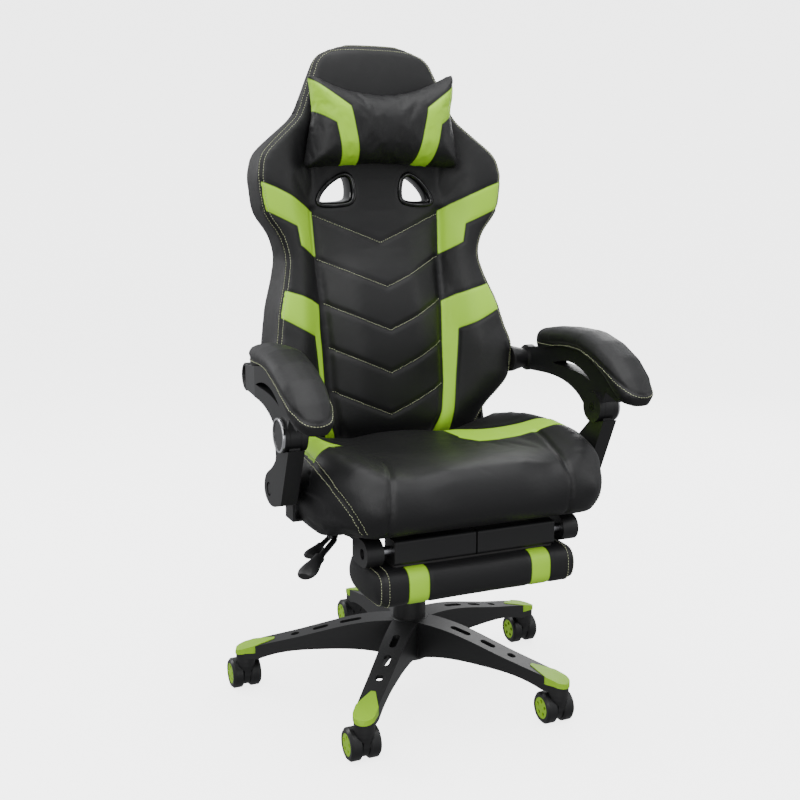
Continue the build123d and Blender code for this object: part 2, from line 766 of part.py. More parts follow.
# ================================================================ arms
with BuildPart() as arm_left:
    with BuildSketch(x_plane(carrier_inner_x)):
        with BuildLine():
            top = Spline(
                (arm_boss_y, arm_boss_z + 22),
                (arm_hub_y + 130, arm_hub_z + 93),
                (arm_hub_y + 40, arm_hub_z + 94),
                (arm_hub_y - 34, arm_hub_z + 69),
                (arm_hub_y - 84, arm_hub_z + 30),
            )
            chin = Polyline(
                top @ 1,
                (arm_hub_y - 72, arm_hub_z + 20),
                (arm_hub_y - 36, arm_hub_z + 32),
                (arm_hub_y - 20, arm_hub_z),
                (arm_hub_y + 24, arm_hub_z - 13),
            )
            under = Spline(
                chin @ 1,
                (arm_hub_y + 56, arm_hub_z + 15),
                (arm_hub_y + 102, arm_hub_z + 31),
                (arm_hub_y + 160, arm_hub_z + 36),
                (arm_boss_y, arm_boss_z - 22),
            )
            Line(under @ 1, top @ 0)
        make_face()
        with BuildLine():
            slit = Spline(
                (arm_hub_y + 144, arm_hub_z + 59),
                (arm_hub_y + 98, arm_hub_z + 69),
                (arm_hub_y + 50, arm_hub_z + 63),
                (arm_hub_y + 14, arm_hub_z + 44),
            )
            Spline(slit @ 1, (arm_hub_y + 49, arm_hub_z + 53), (arm_hub_y + 92, arm_hub_z + 57), slit @ 0)
        make_face(mode=Mode.SUBTRACT)
    extrude(amount=carrier_outer_x - carrier_inner_x)
    # seen from above the arm thins toward its rear boss
    with BuildSketch(Plane.XY):
        with BuildLine():
            Polyline(
                (carrier_inner_x, arm_boss_y + arm_boss_radius),
                (arm_boss_outer_x, arm_boss_y + arm_boss_radius),
                (arm_boss_outer_x, arm_boss_y),
                (carrier_outer_x, arm_boss_y - 100),
                (carrier_outer_x, arm_hub_y - 100),
                (carrier_inner_x, arm_hub_y - 100),
                close=True,
            )
        make_face()
    extrude(amount=arm_boss_z + 100, mode=Mode.INTERSECT)
    # rear boss: a cone from the back to the arm, then a dished round end
    with BuildSketch(Plane(origin=(0, arm_boss_y, arm_boss_z), x_dir=(1, 0, 0), z_dir=(0, -1, 0))):
        with BuildLine():
            Polyline(
                (arm_boss_inner_x, 0),
                (arm_boss_inner_x, arm_boss_radius),
                (arm_boss_inner_x + 5, arm_boss_radius),
                (carrier_inner_x - 3, arm_boss_waist),
                (carrier_inner_x, arm_boss_radius - 1),
                (carrier_inner_x + 2, arm_boss_radius),
                (arm_boss_outer_x - 1, arm_boss_radius),
                (arm_boss_outer_x, arm_boss_radius - 1),
                (arm_boss_outer_x, arm_dish_radius),
                (arm_boss_outer_x - arm_dish_depth, arm_dish_radius - 1),
                (arm_boss_outer_x - arm_dish_depth, 0),
                close=True,
            )
        make_face()
    revolve(axis=Axis((0, arm_boss_y, arm_boss_z), (1, 0, 0)))
    # front hub drum, open in the middle for the eye of the link
    with BuildSketch(x_plane(hub_inner_x)):
        with Locations((arm_hub_y, arm_hub_z)):
            Circle(hub_drum_radius)
    extrude(amount=hub_outer_x - hub_inner_x)
    with BuildSketch(x_plane(link_eye_inner_x - 0.4)):
        with Locations((arm_hub_y, arm_hub_z)):
            Circle(hub_drum_radius + 0.6)
    extrude(amount=link_eye_outer_x - link_eye_inner_x + 0.8, mode=Mode.SUBTRACT)
    with BuildSketch(x_plane(hub_inner_x)):
        with Locations((arm_hub_y, arm_hub_z)):
            Circle(hinge_pin_radius)
    extrude(amount=hub_outer_x - hub_inner_x, mode=Mode.SUBTRACT)
    # bore for the stud of the back frame
    with BuildSketch(x_plane(arm_boss_inner_x)):
        with Locations((arm_boss_y, arm_boss_z)):
            Circle(arm_stud_radius + running_clearance)
    extrude(amount=arm_stud_end + 2 - arm_boss_inner_x, mode=Mode.SUBTRACT)
finish(arm_left, "arm_frame_left")
finish(mirrored(arm_left.part), "arm_frame_right")

with BuildPart() as hub_cap_left:
    # pivot pin with a wide polished rim on its outer end
    with BuildSketch(x_plane(hub_inner_x)):
        with Locations((arm_hub_y, arm_hub_z)):
            Circle(hinge_pin_radius)
    extrude(amount=hub_outer_x - hub_inner_x)
    with BuildSketch(x_plane(hub_outer_x)):
        with Locations((arm_hub_y, arm_hub_z)):
            Circle(hub_drum_radius + 0.5)
    extrude(amount=4)
    fillet(edges().group_by(Axis.X)[-1], 1.5)
    with BuildSketch(x_plane(hub_outer_x + 4)):
        with Locations((arm_hub_y, arm_hub_z)):
            Circle(hub_drum_radius - 3)
    extrude(amount=-1.5, mode=Mode.SUBTRACT)
finish(hub_cap_left, "hub_cap_left")
finish(mirrored(hub_cap_left.part), "hub_cap_right")

# rows of the arm pad from its rear end round the nose:
# y and z on the arm, y and z on the crest, inner and outer edge
pad_rows = (
    (4, 653, 6, 670, 270, 304),
    (-8, 655, -6, 684, 265, 309),
    (-60, 657.4, -58, 693, 260, 318),
    (-110, 659.8, -110, 697, 257, 325),
    (-160, 658.2, -164, 697, 256, 330),
    (-204, 643.5, -218, 684, 256, 331),
    (-240, 623, -266, 662, 256, 331),
    (-262, 605, -302, 633, 257, 329),
    (-274, 594, -325, 604, 261, 323),
    (-278, 587, -319, 583, 270, 313),
)


def pad_section(low_y, low_z, high_y, high_z, inner, outer):
    """Cross-section of the arm pad, square to the arm at one row."""
    upward = Vector(0, high_y - low_y, high_z - low_z)
    tall = upward.length
    plane = Plane(origin=(0, low_y, low_z), x_dir=(1, 0, 0), z_dir=Vector(1, 0, 0).cross(upward))
    edge = (outer - inner) * 0.12
    with BuildSketch(plane) as outline:
        with BuildLine():
            Polyline(
                (inner + edge, 0),
                (outer - edge, 0),
                (outer, tall * 0.3),
                (outer, tall * 0.6),
                (outer - edge, tall * 0.86),
                (outer - 3 * edge, tall),
                (inner + 3 * edge, tall),
                (inner + edge, tall * 0.86),
                (inner, tall * 0.6),
                (inner, tall * 0.3),
                close=True,
            )
        make_face()
    return outline.sketch


with BuildPart() as arm_pad_left:
    for row in pad_rows:
        add(pad_section(*row))
    loft(ruled=True)
finish(arm_pad_left, "arm_pad_left")
finish(mirrored(arm_pad_left.part), "arm_pad_right")

# ================================================================ back
# rows of the back from its rounded lower edge to the top of the head wing:
# z, half width, front at the middle, front in the valleys, front of the wings, rear
back_rows = (
    (457, 172, 116, 118, 117, 157),
    (470, 188, 97, 99, 98, 166),
    (recline_z, 200, 82, 86, 87, 177),
    (540, 216, 82, 94, 66, 173),
    (580, 238, 81, 102, 51, 168),
    (650, 241, 80, 114, 45, 165),
    (731, 226, 91, 128, 70, 182),
    (781, 208, 106, 144, 92, 197),
    (822, 199, 128, 150, 106, 203),
    (862, 209, 141, 156, 108, 204),
    (903, 241, 149, 161, 104, 202),
    (970, 250, 153, 166, 106, 199),
    (1010, 242, 153, 163, 116, 198),
    (1045, 202, 153, 158, 132, 197),
    (1078, 162, 152, 154, 143, 196),
    (1150, 133, 156, 158, 159, 195),
    (1190, 116, 164, 166, 169, 194),
    (1211, 82, 174, 176, 179, 192),
    (1218, 52, 180, 182, 184, 189),
)
split_depth = 30.0              # thickness of the rear shell
valley_x = 130.0
wing_corner = 10.0


def back_section(z, half, middle, valley, wing, rear, grow):
    """Plan section of the whole back at one height."""
    valley_at = min(valley_x, half * 0.66)
    step = min(wing_corner, (rear - wing) * 0.25)
    right = [
        (valley_at * 0.45, middle - grow),
        (valley_at, valley - grow),
        ((valley_at + half - step) / 2, wing + 0.15 * (valley - wing) - grow),
        (half - step, wing - grow),
        (half + grow, wing + step),
        (half + grow, rear - step),
        (half - step, rear + grow),
    ]
    left = [(-x, y) for x, y in reversed(right)]
    with BuildSketch(Plane.XY.offset(z)) as outline:
        with BuildLine():
            Polyline(*(right + left), close=True)
        make_face()
    return outline.sketch


def split_section(z, half, middle, valley, wing, rear, grow):
    """Everything behind the surface that parts the rear shell from the cushion."""
    front = rear - min(split_depth, (rear - middle) * 0.45)
    with BuildSketch(Plane.XY.offset(z)) as outline:
        with BuildLine():
            Polyline((-300, front), (300, front), (300, 300), (-300, 300), close=True)
        make_face()
    return outline.sketch


def lofted(section, rows, grow):
    """Ruled loft through one section per row."""
    with BuildPart() as body:
        for row in rows:
            add(section(*row, grow))
        loft(ruled=True)
    return body.part


def back_row_at(z):
    """The row of sizes at any height, between the listed ones."""
    for low, high in zip(back_rows, back_rows[1:]):
        if low[0] <= z <= high[0]:
            share = (z - low[0]) / (high[0] - low[0])
            return tuple(a + (b - a) * share for a, b in zip(low, high))
    raise ValueError("height outside the back")


back_whole = lofted(back_section, back_rows, 0)
rear_half = lofted(split_section, back_rows, 0)

frame_tube_radius = 10.0
stud_lug_radius = 9.5
frame_tube_x = hinge_inner_x - frame_tube_radius + 0.6
frame_path = (
    (frame_tube_x, recline_y, arm_boss_z - 30),
    (frame_tube_x, recline_y, arm_boss_z + 70),
    (frame_tube_x - 8, recline_y + 34, 850),
    (frame_tube_x - 16, recline_y + 38, 985),
    (100, recline_y + 38, 1060),
    (92, recline_y + 40, 1150),
)


def frame_solid(grow):
    """Steel back frame: torsion tube, side plates, bent uprights and arm studs."""
    with BuildPart() as frame:
        with BuildSketch(x_plane(-hinge_inner_x)):
            with Locations((recline_y, recline_z)):
                Circle(hinge_pin_radius + 4 + grow)
        extrude(amount=2 * hinge_inner_x)
        for side in (-1, 1):
            with BuildSketch(x_plane(side * (hinge_inner_x - grow))):
                with BuildLine():
                    Polyline(
                        (recline_y - 24, recline_z),
                        (recline_y - 22, arm_boss_z - 24),
                        (arm_boss_y, arm_boss_z - stud_lug_radius),
                        (arm_boss_y, arm_boss_z + stud_lug_radius),
                        (recline_y + 12, arm_boss_z + 20),
                        (recline_y + 24, recline_z),
                        close=True,
                    )
                make_face()
                with Locations((recline_y, recline_z)):
                    Circle(24)
                with Locations((arm_boss_y, arm_boss_z)):
                    Circle(stud_lug_radius)
                if grow > 0:
                    offset(amount=grow)
            extrude(amount=side * (hinge_plate + 2 * grow))
            with BuildLine():
                spine = FilletPolyline(
                    *[(side * x, y, z) for x, y, z in frame_path], radius=40
                )
            with BuildSketch(Plane(origin=spine @ 0, z_dir=spine % 0)):
                Circle(frame_tube_radius + grow)
            sweep(path=spine)
            with BuildSketch(x_plane(side * (hinge_inner_x + hinge_plate - 1))):
                with Locations((arm_boss_y, arm_boss_z)):
                    Circle(arm_stud_radius + grow)
            extrude(amount=side * (arm_stud_end - hinge_inner_x - hinge_plate + 1))
        with BuildSketch(x_plane(-frame_path[-1][0])):
            with Locations((frame_path[-1][1], frame_path[-1][2] - 12)):
                Circle(frame_tube_radius + grow)
        extrude(amount=2 * frame_path[-1][0])
        with BuildSketch(x_plane(-frame_tube_x)):
            with Locations((frame_path[0][1], frame_path[0][2] + 60)):
                Circle(frame_tube_radius - 2 + grow)
        extrude(amount=2 * frame_tube_x)
    return frame.part


frame_room = frame_solid(soft_gap)
with BuildPart() as back_frame:
    add(frame_solid(0))
    with BuildSketch(x_plane(-hinge_inner_x - 10)):
        with Locations((recline_y, recline_z)):
            Circle(hinge_pin_radius + running_clearance)
    extrude(amount=2 * hinge_inner_x + 20, mode=Mode.SUBTRACT)
finish(back_frame, "back_frame")

# the two eye-shaped cut-outs beside the head
eye_corners = ((120, 921), (99, 952), (66, 974), (52, 963), (49, 925), (86, 919))
eye_wall = 5.0
eye_proud = 2.5                 # the liners stand this far out of the back
eye_front = 140.0
eye_back = 208.0


def eye_sketch(side, grow):
    """Rounded outline of one cut-out on a plane square to Y."""
    plane = Plane(origin=(0, eye_front, 0), x_dir=(1, 0, 0), z_dir=(0, -1, 0))
    with BuildSketch(plane) as eye:
        with BuildLine():
            Polyline(*[(side * x, z) for x, z in eye_corners], close=True)
        make_face()
        fillet(eye.vertices(), 6)
        if grow:
            offset(amount=grow)
    return eye.sketch


with BuildPart() as relief:
    # rooms in the soft parts: the eye liners and the fixed hinge discs
    for side in (-1, 1):
        extrude(eye_sketch(side, eye_wall + soft_gap), amount=100, both=True)
    for side in (-1, 1):
        with BuildSketch(x_plane(side * (seat_plate_x - 0.4))):
            with Locations((recline_y, recline_z)):
                Circle(hinge_disc_radius + 10)
        extrude(amount=side * 40)
        with BuildSketch(x_plane(side * (hinge_inner_x - soft_gap))):
            with Locations((arm_boss_y, arm_boss_z)):
                Circle(arm_stud_radius + 1)
        extrude(amount=side * 60)

with BuildPart() as back_cushion:
    add(back_whole)
    add(rear_half, mode=Mode.SUBTRACT)
    add(frame_room, mode=Mode.SUBTRACT)
    add(relief.part, mode=Mode.SUBTRACT)
finish(back_cushion, "back_cushion")

with BuildPart() as back_shell:
    add(back_whole)
    add(rear_half, mode=Mode.INTERSECT)
    add(frame_room, mode=Mode.SUBTRACT)
    add(relief.part, mode=Mode.SUBTRACT)
finish(back_shell, "back_shell")

with BuildPart() as eye_bezels:
    for side in (-1, 1):
        extrude(eye_sketch(side, eye_wall), amount=eye_front - eye_back)
    add(lofted(back_section, back_rows, eye_proud), mode=Mode.INTERSECT)
    for side in (-1, 1):
        extrude(eye_sketch(side, 0), amount=2 * (eye_front - eye_back), both=True, mode=Mode.SUBTRACT)
finish(eye_bezels, "eye_bezels")

# ================================================================ head pillow and its strap
pillow_back = 145.6
pillow_depth = 62.0
with BuildPart() as head_pillow:
    with BuildSketch(Plane(origin=(0, pillow_back, 0), x_dir=(1, 0, 0), z_dir=(0, -1, 0))):
        with BuildLine():
            pillow_top = Spline((-143, 1150), (-70, 1126), (0, 1119), (70, 1126), (143, 1150))
            right_side = Spline(pillow_top @ 1, (136, 1090), (154, 986))
            pillow_low = Spline(right_side @ 1, (70, 990), (0, 993), (-70, 990), (-154, 986))
            Spline(pillow_low @ 1, (-136, 1090), pillow_top @ 0)
        make_face()
    extrude(amount=pillow_depth)
    chamfer(faces().sort_by(Axis.Y)[0].edges(), 16)
    chamfer(faces().sort_by(Axis.Y)[-1].edges(), 9)
finish(head_pillow, "head_pillow")

strap_low = 1082.0
strap_high = 1110.0
strap_thickness = 1.6
strap_rows = [back_row_at(strap_low), back_row_at(strap_high)]
with BuildPart() as pillow_strap:
    add(lofted(back_section, strap_rows, soft_gap + strap_thickness))
    add(lofted(back_section, strap_rows, 2 * soft_gap), mode=Mode.SUBTRACT)
    with BuildSketch(Plane.XY.offset(strap_low)):
        with Locations((0, pillow_back - 50)):
            Rectangle(275.6, 120)
    extrude(amount=60, mode=Mode.SUBTRACT)
finish(pillow_strap, "pillow_strap")

# ================================================================ footrest
with BuildPart() as footrest_sleeves:
    for side in (-1, 1):
        with BuildSketch(Plane(origin=(side * rail_x, -190, rail_z), x_dir=(1, 0, 0), z_dir=(0, 1, 0))):
            Circle(rail_sleeve_radius)
        extrude(amount=245)
        for hanger_y in (-170, 30):
            with BuildSketch(Plane.XY.offset(rail_z)):
                with Locations((side * rail_x, hanger_y)):
                    Rectangle(12, 24)
            extrude(amount=pan_bottom - rail_z)
        with BuildSketch(Plane(origin=(side * rail_x, -190, rail_z), x_dir=(1, 0, 0), z_dir=(0, 1, 0))):
            Circle(rail_radius + running_clearance)
        extrude(amount=245, mode=Mode.SUBTRACT)
finish(footrest_sleeves, "footrest_sleeves")

with BuildPart() as footrest_rods:
    for side in (-1, 1):
        with BuildSketch(Plane(origin=(side * rail_x, -225, rail_z), x_dir=(1, 0, 0), z_dir=(0, 1, 0))):
            Circle(rail_radius)
        extrude(amount=345)
finish(footrest_rods, "footrest_rods")

with BuildPart() as footrest_brackets:
    for side in (-1, 1):
        with BuildSketch(x_plane(side * bracket_inner_edge)):
            with Locations((flip_y, flip_z)):
                Circle(bracket_end_radius)
            with Locations((flip_y + 22, flip_z)):
                Rectangle(44, 2 * bracket_end_radius)
        extrude(amount=side * (bracket_outer_edge - bracket_inner_edge))
        with BuildSketch(Plane(origin=(side * rail_x, -225, rail_z), x_dir=(1, 0, 0), z_dir=(0, 1, 0))):
            Circle(rail_radius)
        extrude(amount=40, mode=Mode.SUBTRACT)
        with BuildSketch(x_plane(side * bracket_inner_edge)):
            with Locations((flip_y, flip_z)):
                Circle(flip_tube_radius)
        extrude(amount=side * 14, mode=Mode.SUBTRACT)
        with BuildSketch(x_plane(side * bracket_outer_edge)):
            with Locations((flip_y, flip_z)):
                Circle(9)
        extrude(amount=-side * 5, mode=Mode.SUBTRACT)
finish(footrest_brackets, "footrest_brackets")

with BuildPart() as footrest_tube:
    with BuildSketch(x_plane(-bracket_inner_edge - 14)):
        with Locations((flip_y, flip_z)):
            Circle(flip_tube_radius)
    extrude(amount=2 * (bracket_inner_edge + 14))
finish(footrest_tube, "footrest_tube")

board_top = flip_z - 21.0
with BuildPart() as footrest_bar:
    for side in (-1, 1):
        with BuildSketch(x_plane(side * bar_gap / 2)):
            with Locations((flip_y, flip_z)):
                RectangleRounded(42, 42, 5)
                Circle(flip_tube_radius + running_clearance, mode=Mode.SUBTRACT)
        extrude(amount=side * (bar_half_width - bar_gap / 2))
finish(footrest_bar, "footrest_bar")

with BuildPart() as footrest_board:
    with BuildSketch(Plane.XY.offset(footrest_top)):
        with Locations((0, (board_front + board_back) / 2)):
            RectangleRounded(2 * bar_half_width, board_back - board_front, 8)
    extrude(amount=board_top - footrest_top)
finish(footrest_board, "footrest_board")

with BuildPart() as footrest_pad:
    with BuildSketch(x_plane(-footrest_half_width)):
        with Locations(((footrest_front + footrest_back) / 2, (footrest_top - soft_gap + footrest_bottom) / 2)):
            RectangleRounded(footrest_back - footrest_front, footrest_top - soft_gap - footrest_bottom, 22)
    extrude(amount=2 * footrest_half_width)
    chamfer(edges().group_by(Axis.X)[0], 8)
    chamfer(edges().group_by(Axis.X)[-1], 8)
finish(footrest_pad, "footrest_pad")


# ================================================================ levers
def lever(points, radius, bend, axis):
    """A bent round rod along the given points, with a barrel round its pivot pin."""
    barrel_end = Plane(origin=Vector(*points[0]) - Vector(*axis) * lever_barrel_length / 2, z_dir=axis)
    with BuildPart() as rod:
        with BuildLine():
            run = FilletPolyline(*points, radius=bend)
        with BuildSketch(Plane(origin=run @ 0, z_dir=run % 0)):
            Circle(radius)
        sweep(path=run)
        with BuildSketch(barrel_end):
            Circle(lever_barrel_radius)
        extrude(amount=lever_barrel_length)
        with BuildSketch(barrel_end):
            Circle(lever_pin_radius + running_clearance)
        extrude(amount=lever_barrel_length, mode=Mode.SUBTRACT)
    return rod


height_lever = lever((height_pivot, height_elbow, height_end), height_rod_radius, 45, height_axis)
finish(height_lever, "height_lever")

recline_lever = lever((recline_pivot, recline_elbow, recline_end), recline_rod_radius, 14, recline_axis)
finish(recline_lever, "recline_lever")


def paddle(start, end, before, length, wide, thick):
    """Flat rounded grip pushed over the end of a lever."""
    direction = Vector(*end) - Vector(*start)
    plane = Plane(origin=Vector(*end) - direction.normalized() * before, z_dir=direction)
    with BuildPart() as grip:
        with BuildSketch(plane):
            Circle(thick / 2 + 1)
        with BuildSketch(plane.offset(length * 0.35)):
            Ellipse(wide / 2 * 0.8, thick / 2 + 1)
        with BuildSketch(plane.offset(length * 0.85)):
            Ellipse(wide / 2, thick / 2)
        with BuildSketch(plane.offset(length)):
            Ellipse(wide / 2 * 0.7, thick / 2 * 0.7)
        loft()
    return grip


with BuildPart() as height_paddle:
    add(paddle(height_elbow, height_end, 24, 58, 26, 12).part)
    add(height_lever.part, mode=Mode.SUBTRACT)
finish(height_paddle, "height_paddle")

with BuildPart() as recline_grip:
    add(paddle(recline_elbow, recline_end, 22, 62, 30, 16).part)
    add(recline_lever.part, mode=Mode.SUBTRACT)
finish(recline_grip, "recline_grip")
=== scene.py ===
# %% [markdown]
# # A reclining gaming chair, dressed around its engineering model
#
# The hard parts of this chair come from a finished engineering model: star base, casters, gas
# lift, arms and levers, all at their real size.  This lesson loads that model as a fixed frame
# and then does what Blender is best at: it sews the soft parts, gives every surface a finish,
# and lights the result.  The frame never moves, so each new piece is fitted to it.

# %% Load the frame
import json
import math
import bmesh
import bpy
import numpy as np
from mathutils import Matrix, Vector, noise
from mathutils.bvhtree import BVHTree
from mathutils.kdtree import KDTree


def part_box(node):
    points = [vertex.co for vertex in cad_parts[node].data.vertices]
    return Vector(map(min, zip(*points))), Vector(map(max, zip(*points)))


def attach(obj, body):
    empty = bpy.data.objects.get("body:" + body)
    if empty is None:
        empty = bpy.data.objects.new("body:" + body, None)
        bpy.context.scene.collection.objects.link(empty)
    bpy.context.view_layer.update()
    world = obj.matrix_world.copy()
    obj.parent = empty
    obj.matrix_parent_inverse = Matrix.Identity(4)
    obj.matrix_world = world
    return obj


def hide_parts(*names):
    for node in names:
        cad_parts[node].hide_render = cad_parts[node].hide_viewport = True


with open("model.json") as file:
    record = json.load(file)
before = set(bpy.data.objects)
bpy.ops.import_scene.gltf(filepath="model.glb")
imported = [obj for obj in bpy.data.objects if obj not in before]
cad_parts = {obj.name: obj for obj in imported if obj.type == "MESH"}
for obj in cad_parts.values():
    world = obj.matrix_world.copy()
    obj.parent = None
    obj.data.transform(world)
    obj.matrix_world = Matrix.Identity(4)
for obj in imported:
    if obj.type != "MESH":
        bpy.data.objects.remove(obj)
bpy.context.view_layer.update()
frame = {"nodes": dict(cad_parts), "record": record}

# %% [markdown]
# ## Camera, floor and light
#
# A product shot uses a short telephoto lens a little above the seat, so that the chair keeps
# its true proportions.  The chair stands in a round bowl of white paper: a flat floor whose rim
# curves up all the way round, so that no horizon shows from any side.  The paper glows by itself,
# as a lit backdrop does, but it is kept out of reflections and bounces, or a black chair would
# turn grey.

# %% Camera and paper bowl
scene = bpy.context.scene
CAMERA_PLACE = Vector((-0.8516, -1.8913, 0.9590))
AZIMUTH = math.radians(-23.744)
ELEVATION = math.radians(10.831)
LENS = 51.15
backwards = Vector(
    (
        math.sin(AZIMUTH) * math.cos(ELEVATION),
        -math.cos(AZIMUTH) * math.cos(ELEVATION),
        math.sin(ELEVATION),
    )
)
camera = bpy.data.objects.new("camera", bpy.data.cameras.new("camera"))
scene.collection.objects.link(camera)
camera.location = CAMERA_PLACE
camera.rotation_mode = "QUATERNION"
camera.rotation_quaternion = (-backwards).to_track_quat("-Z", "Y")
camera.data.lens = LENS
camera.data.sensor_width = 36.0
camera.data.clip_end = 100.0
scene.camera = camera

FLOOR_RADIUS, RIM_RADIUS, WALL_TOP = 7.0, 3.5, 7.0
BOWL_SIDES = 96
PAPER_GLOW = 3.4


def paper_bowl():
    """A flat floor with a rim that curves up into a wall."""
    turn = [math.radians(a) for a in range(0, 91, 10)]
    profile = [(FLOOR_RADIUS * k / 6, 0.0) for k in range(1, 7)]
    profile += [
        (FLOOR_RADIUS + RIM_RADIUS * math.sin(a), RIM_RADIUS * (1 - math.cos(a))) for a in turn[1:]
    ]
    profile.append((FLOOR_RADIUS + RIM_RADIUS, WALL_TOP))
    points = [(0.0, 0.0, 0.0)]
    for radius, height in profile:
        for k in range(BOWL_SIDES):
            a = 2 * math.pi * k / BOWL_SIDES
            points.append((radius * math.cos(a), radius * math.sin(a), height))
    faces = [(0, 1 + k, 1 + (k + 1) % BOWL_SIDES) for k in range(BOWL_SIDES)]
    for low in range(1, len(points) - BOWL_SIDES, BOWL_SIDES):
        high = low + BOWL_SIDES
        for k in range(BOWL_SIDES):
            j = (k + 1) % BOWL_SIDES
            faces.append((low + k, high + k, high + j, low + j))
    mesh = bpy.data.meshes.new("paper_bowl")
    mesh.from_pydata(points, [], faces)
    mesh.shade_smooth()
    bowl = bpy.data.objects.new("paper_bowl", mesh)
    scene.collection.objects.link(bowl)
    return bowl


bowl = paper_bowl()
paper = bpy.data.materials.new("white_paper")
paper.use_nodes = True
paper_shader = paper.node_tree.nodes["Principled BSDF"]
paper_shader.inputs["Base Color"].default_value = (0.85, 0.85, 0.85, 1)
paper_shader.inputs["Roughness"].default_value = 0.9
paper_shader.inputs["Emission Color"].default_value = (1, 1, 1, 1)
paper_shader.inputs["Emission Strength"].default_value = PAPER_GLOW
bowl.data.materials.append(paper)
bowl.visible_diffuse = False
bowl.visible_glossy = False
bowl.visible_shadow = False
print("bowl: floor radius", FLOOR_RADIUS, "m")

# %% [markdown]
# Black vinyl shows its form only by what it reflects, so the lights are large and soft: a wide
# ceiling panel that rolls over every crown, a key from the front left, a weaker fill on the
# right, a low panel that opens up the fronts of the seat and the footrest, and a strip behind
# each shoulder that draws the edges.  The world is bright overhead and a third as bright below,
# so undersides stay deep without going blank.

# %% Lights
def panel(name, place, aim, width, height, power):
    """A soft box: an area light that looks at a point."""
    light = bpy.data.lights.new(name, "AREA")
    light.shape = "RECTANGLE"
    light.size, light.size_y = width, height
    light.energy = power
    lamp = bpy.data.objects.new(name, light)
    lamp.location = place
    lamp.rotation_mode = "QUATERNION"
    lamp.rotation_quaternion = (Vector(aim) - Vector(place)).to_track_quat("-Z", "Y")
    scene.collection.objects.link(lamp)
    return lamp


MIDDLE = (0.0, 0.0, 0.65)
panel("ceiling_panel", (-0.3, -0.6, 3.4), MIDDLE, 3.2, 3.2, 90)
panel("key_panel", (-2.6, -2.2, 2.3), MIDDLE, 1.8, 1.8, 45)
panel("fill_panel", (2.8, -1.6, 1.6), MIDDLE, 1.6, 2.2, 22)
panel("low_panel", (-1.0, -3.0, 0.45), (0.0, -0.1, 0.45), 2.2, 0.9, 16)
panel("left_rim", (-1.9, 1.9, 1.9), MIDDLE, 0.8, 2.0, 25)
panel("right_rim", (1.9, 1.9, 1.9), MIDDLE, 0.8, 2.0, 25)

GLOW_BELOW, GLOW_ABOVE = 0.30, 0.88
world = bpy.data.worlds.new("pale_room")
world.use_nodes = True
sky = world.node_tree
toward = sky.nodes.new("ShaderNodeTexCoord")
split = sky.nodes.new("ShaderNodeSeparateXYZ")
fade = sky.nodes.new("ShaderNodeMapRange")
fade.inputs["From Min"].default_value = -0.5
fade.inputs["From Max"].default_value = 0.9
fade.inputs["To Min"].default_value = GLOW_BELOW
fade.inputs["To Max"].default_value = GLOW_ABOVE
sky.links.new(toward.outputs["Generated"], split.inputs["Vector"])
sky.links.new(split.outputs["Z"], fade.inputs["Value"])
sky.links.new(fade.outputs["Result"], sky.nodes["Background"].inputs["Strength"])
sky.nodes["Background"].inputs["Color"].default_value = (0.97, 0.98, 1.0, 1)
scene.world = world

# %% [markdown]
# ## Finishes
#
# Each finish is a small graph of shader nodes.  Patterns are laid in object coordinates, which
# are metres on the chair itself, so a grain of one millimetre is written as one and it stays
# put when a joint moves.

# %% Shader helpers
def blank(name):
    """A new material with its graph and its main shader."""
    material = bpy.data.materials.new(name)
    material.use_nodes = True
    graph = material.node_tree
    return material, graph, graph.nodes["Principled BSDF"]


def add(graph, kind, **settings):
    """One node of a graph, with its properties and its input values."""
    node = graph.nodes.new(kind)
    for key, value in settings.items():
        if hasattr(node, key):
            setattr(node, key, value)
        else:
            node.inputs[key.replace("_", " ")].default_value = value
    return node


def place(graph):
    """Object coordinates, in metres on the chair."""
    return add(graph, "ShaderNodeTexCoord").outputs["Object"]


def speckle(graph, kind, scale, detail=2.0):
    """A noise or cell pattern laid on the chair; scale counts its features per metre."""
    node = add(graph, kind, Scale=scale)
    if "Detail" in node.inputs:
        node.inputs["Detail"].default_value = detail
    feed(graph, node, Vector=place(graph))
    return node


def between_values(graph, source, low, high, start=0.0, stop=1.0):
    """A pattern that goes from start to stop turned into values from low to high."""
    node = add(
        graph, "ShaderNodeMapRange", From_Min=start, From_Max=stop, To_Min=low, To_Max=high
    )
    feed(graph, node, Value=source)
    return node.outputs["Result"]


def feed(graph, node, **values):
    """Gives a node its inputs: a plain value is set, the output of another node is linked."""
    for name, value in values.items():
        socket = node.inputs[name.replace("_", " ")]
        if isinstance(value, bpy.types.NodeSocket):
            graph.links.new(value, socket)
        else:
            socket.default_value = value


def mixed(graph, mask, first, second, **kind):
    """Two colours mixed by a mask; each of the three is a value or the output of a node."""
    node = add(graph, "ShaderNodeMix", data_type="RGBA", **kind)
    for socket, value in zip((0, 6, 7), (mask, first, second)):
        if isinstance(value, bpy.types.NodeSocket):
            graph.links.new(value, node.inputs[socket])
        else:
            node.inputs[socket].default_value = value
    return node.outputs[2]


def tinted(graph, source, dark, light):
    """A pattern from 0 to 1 turned into a colour between two tones."""
    return mixed(graph, source, (*dark, 1), (*light, 1))


def stretched(graph, scale, **settings):
    """Noise drawn out along one direction, as a ground surface or wood grain is."""
    stretch = add(graph, "ShaderNodeMapping")
    feed(graph, stretch, Scale=scale, Vector=place(graph))
    pattern = add(graph, "ShaderNodeTexNoise", **settings)
    feed(graph, pattern, Vector=stretch.outputs["Vector"])
    return pattern.outputs["Fac"]


def raised(graph, shader, source, depth, strength=1.0):
    """Bump of a real depth, in metres."""
    bump = add(graph, "ShaderNodeBump", Strength=strength, Distance=depth)
    feed(graph, bump, Height=source)
    feed(graph, shader, Normal=bump.outputs["Normal"])
    return bump


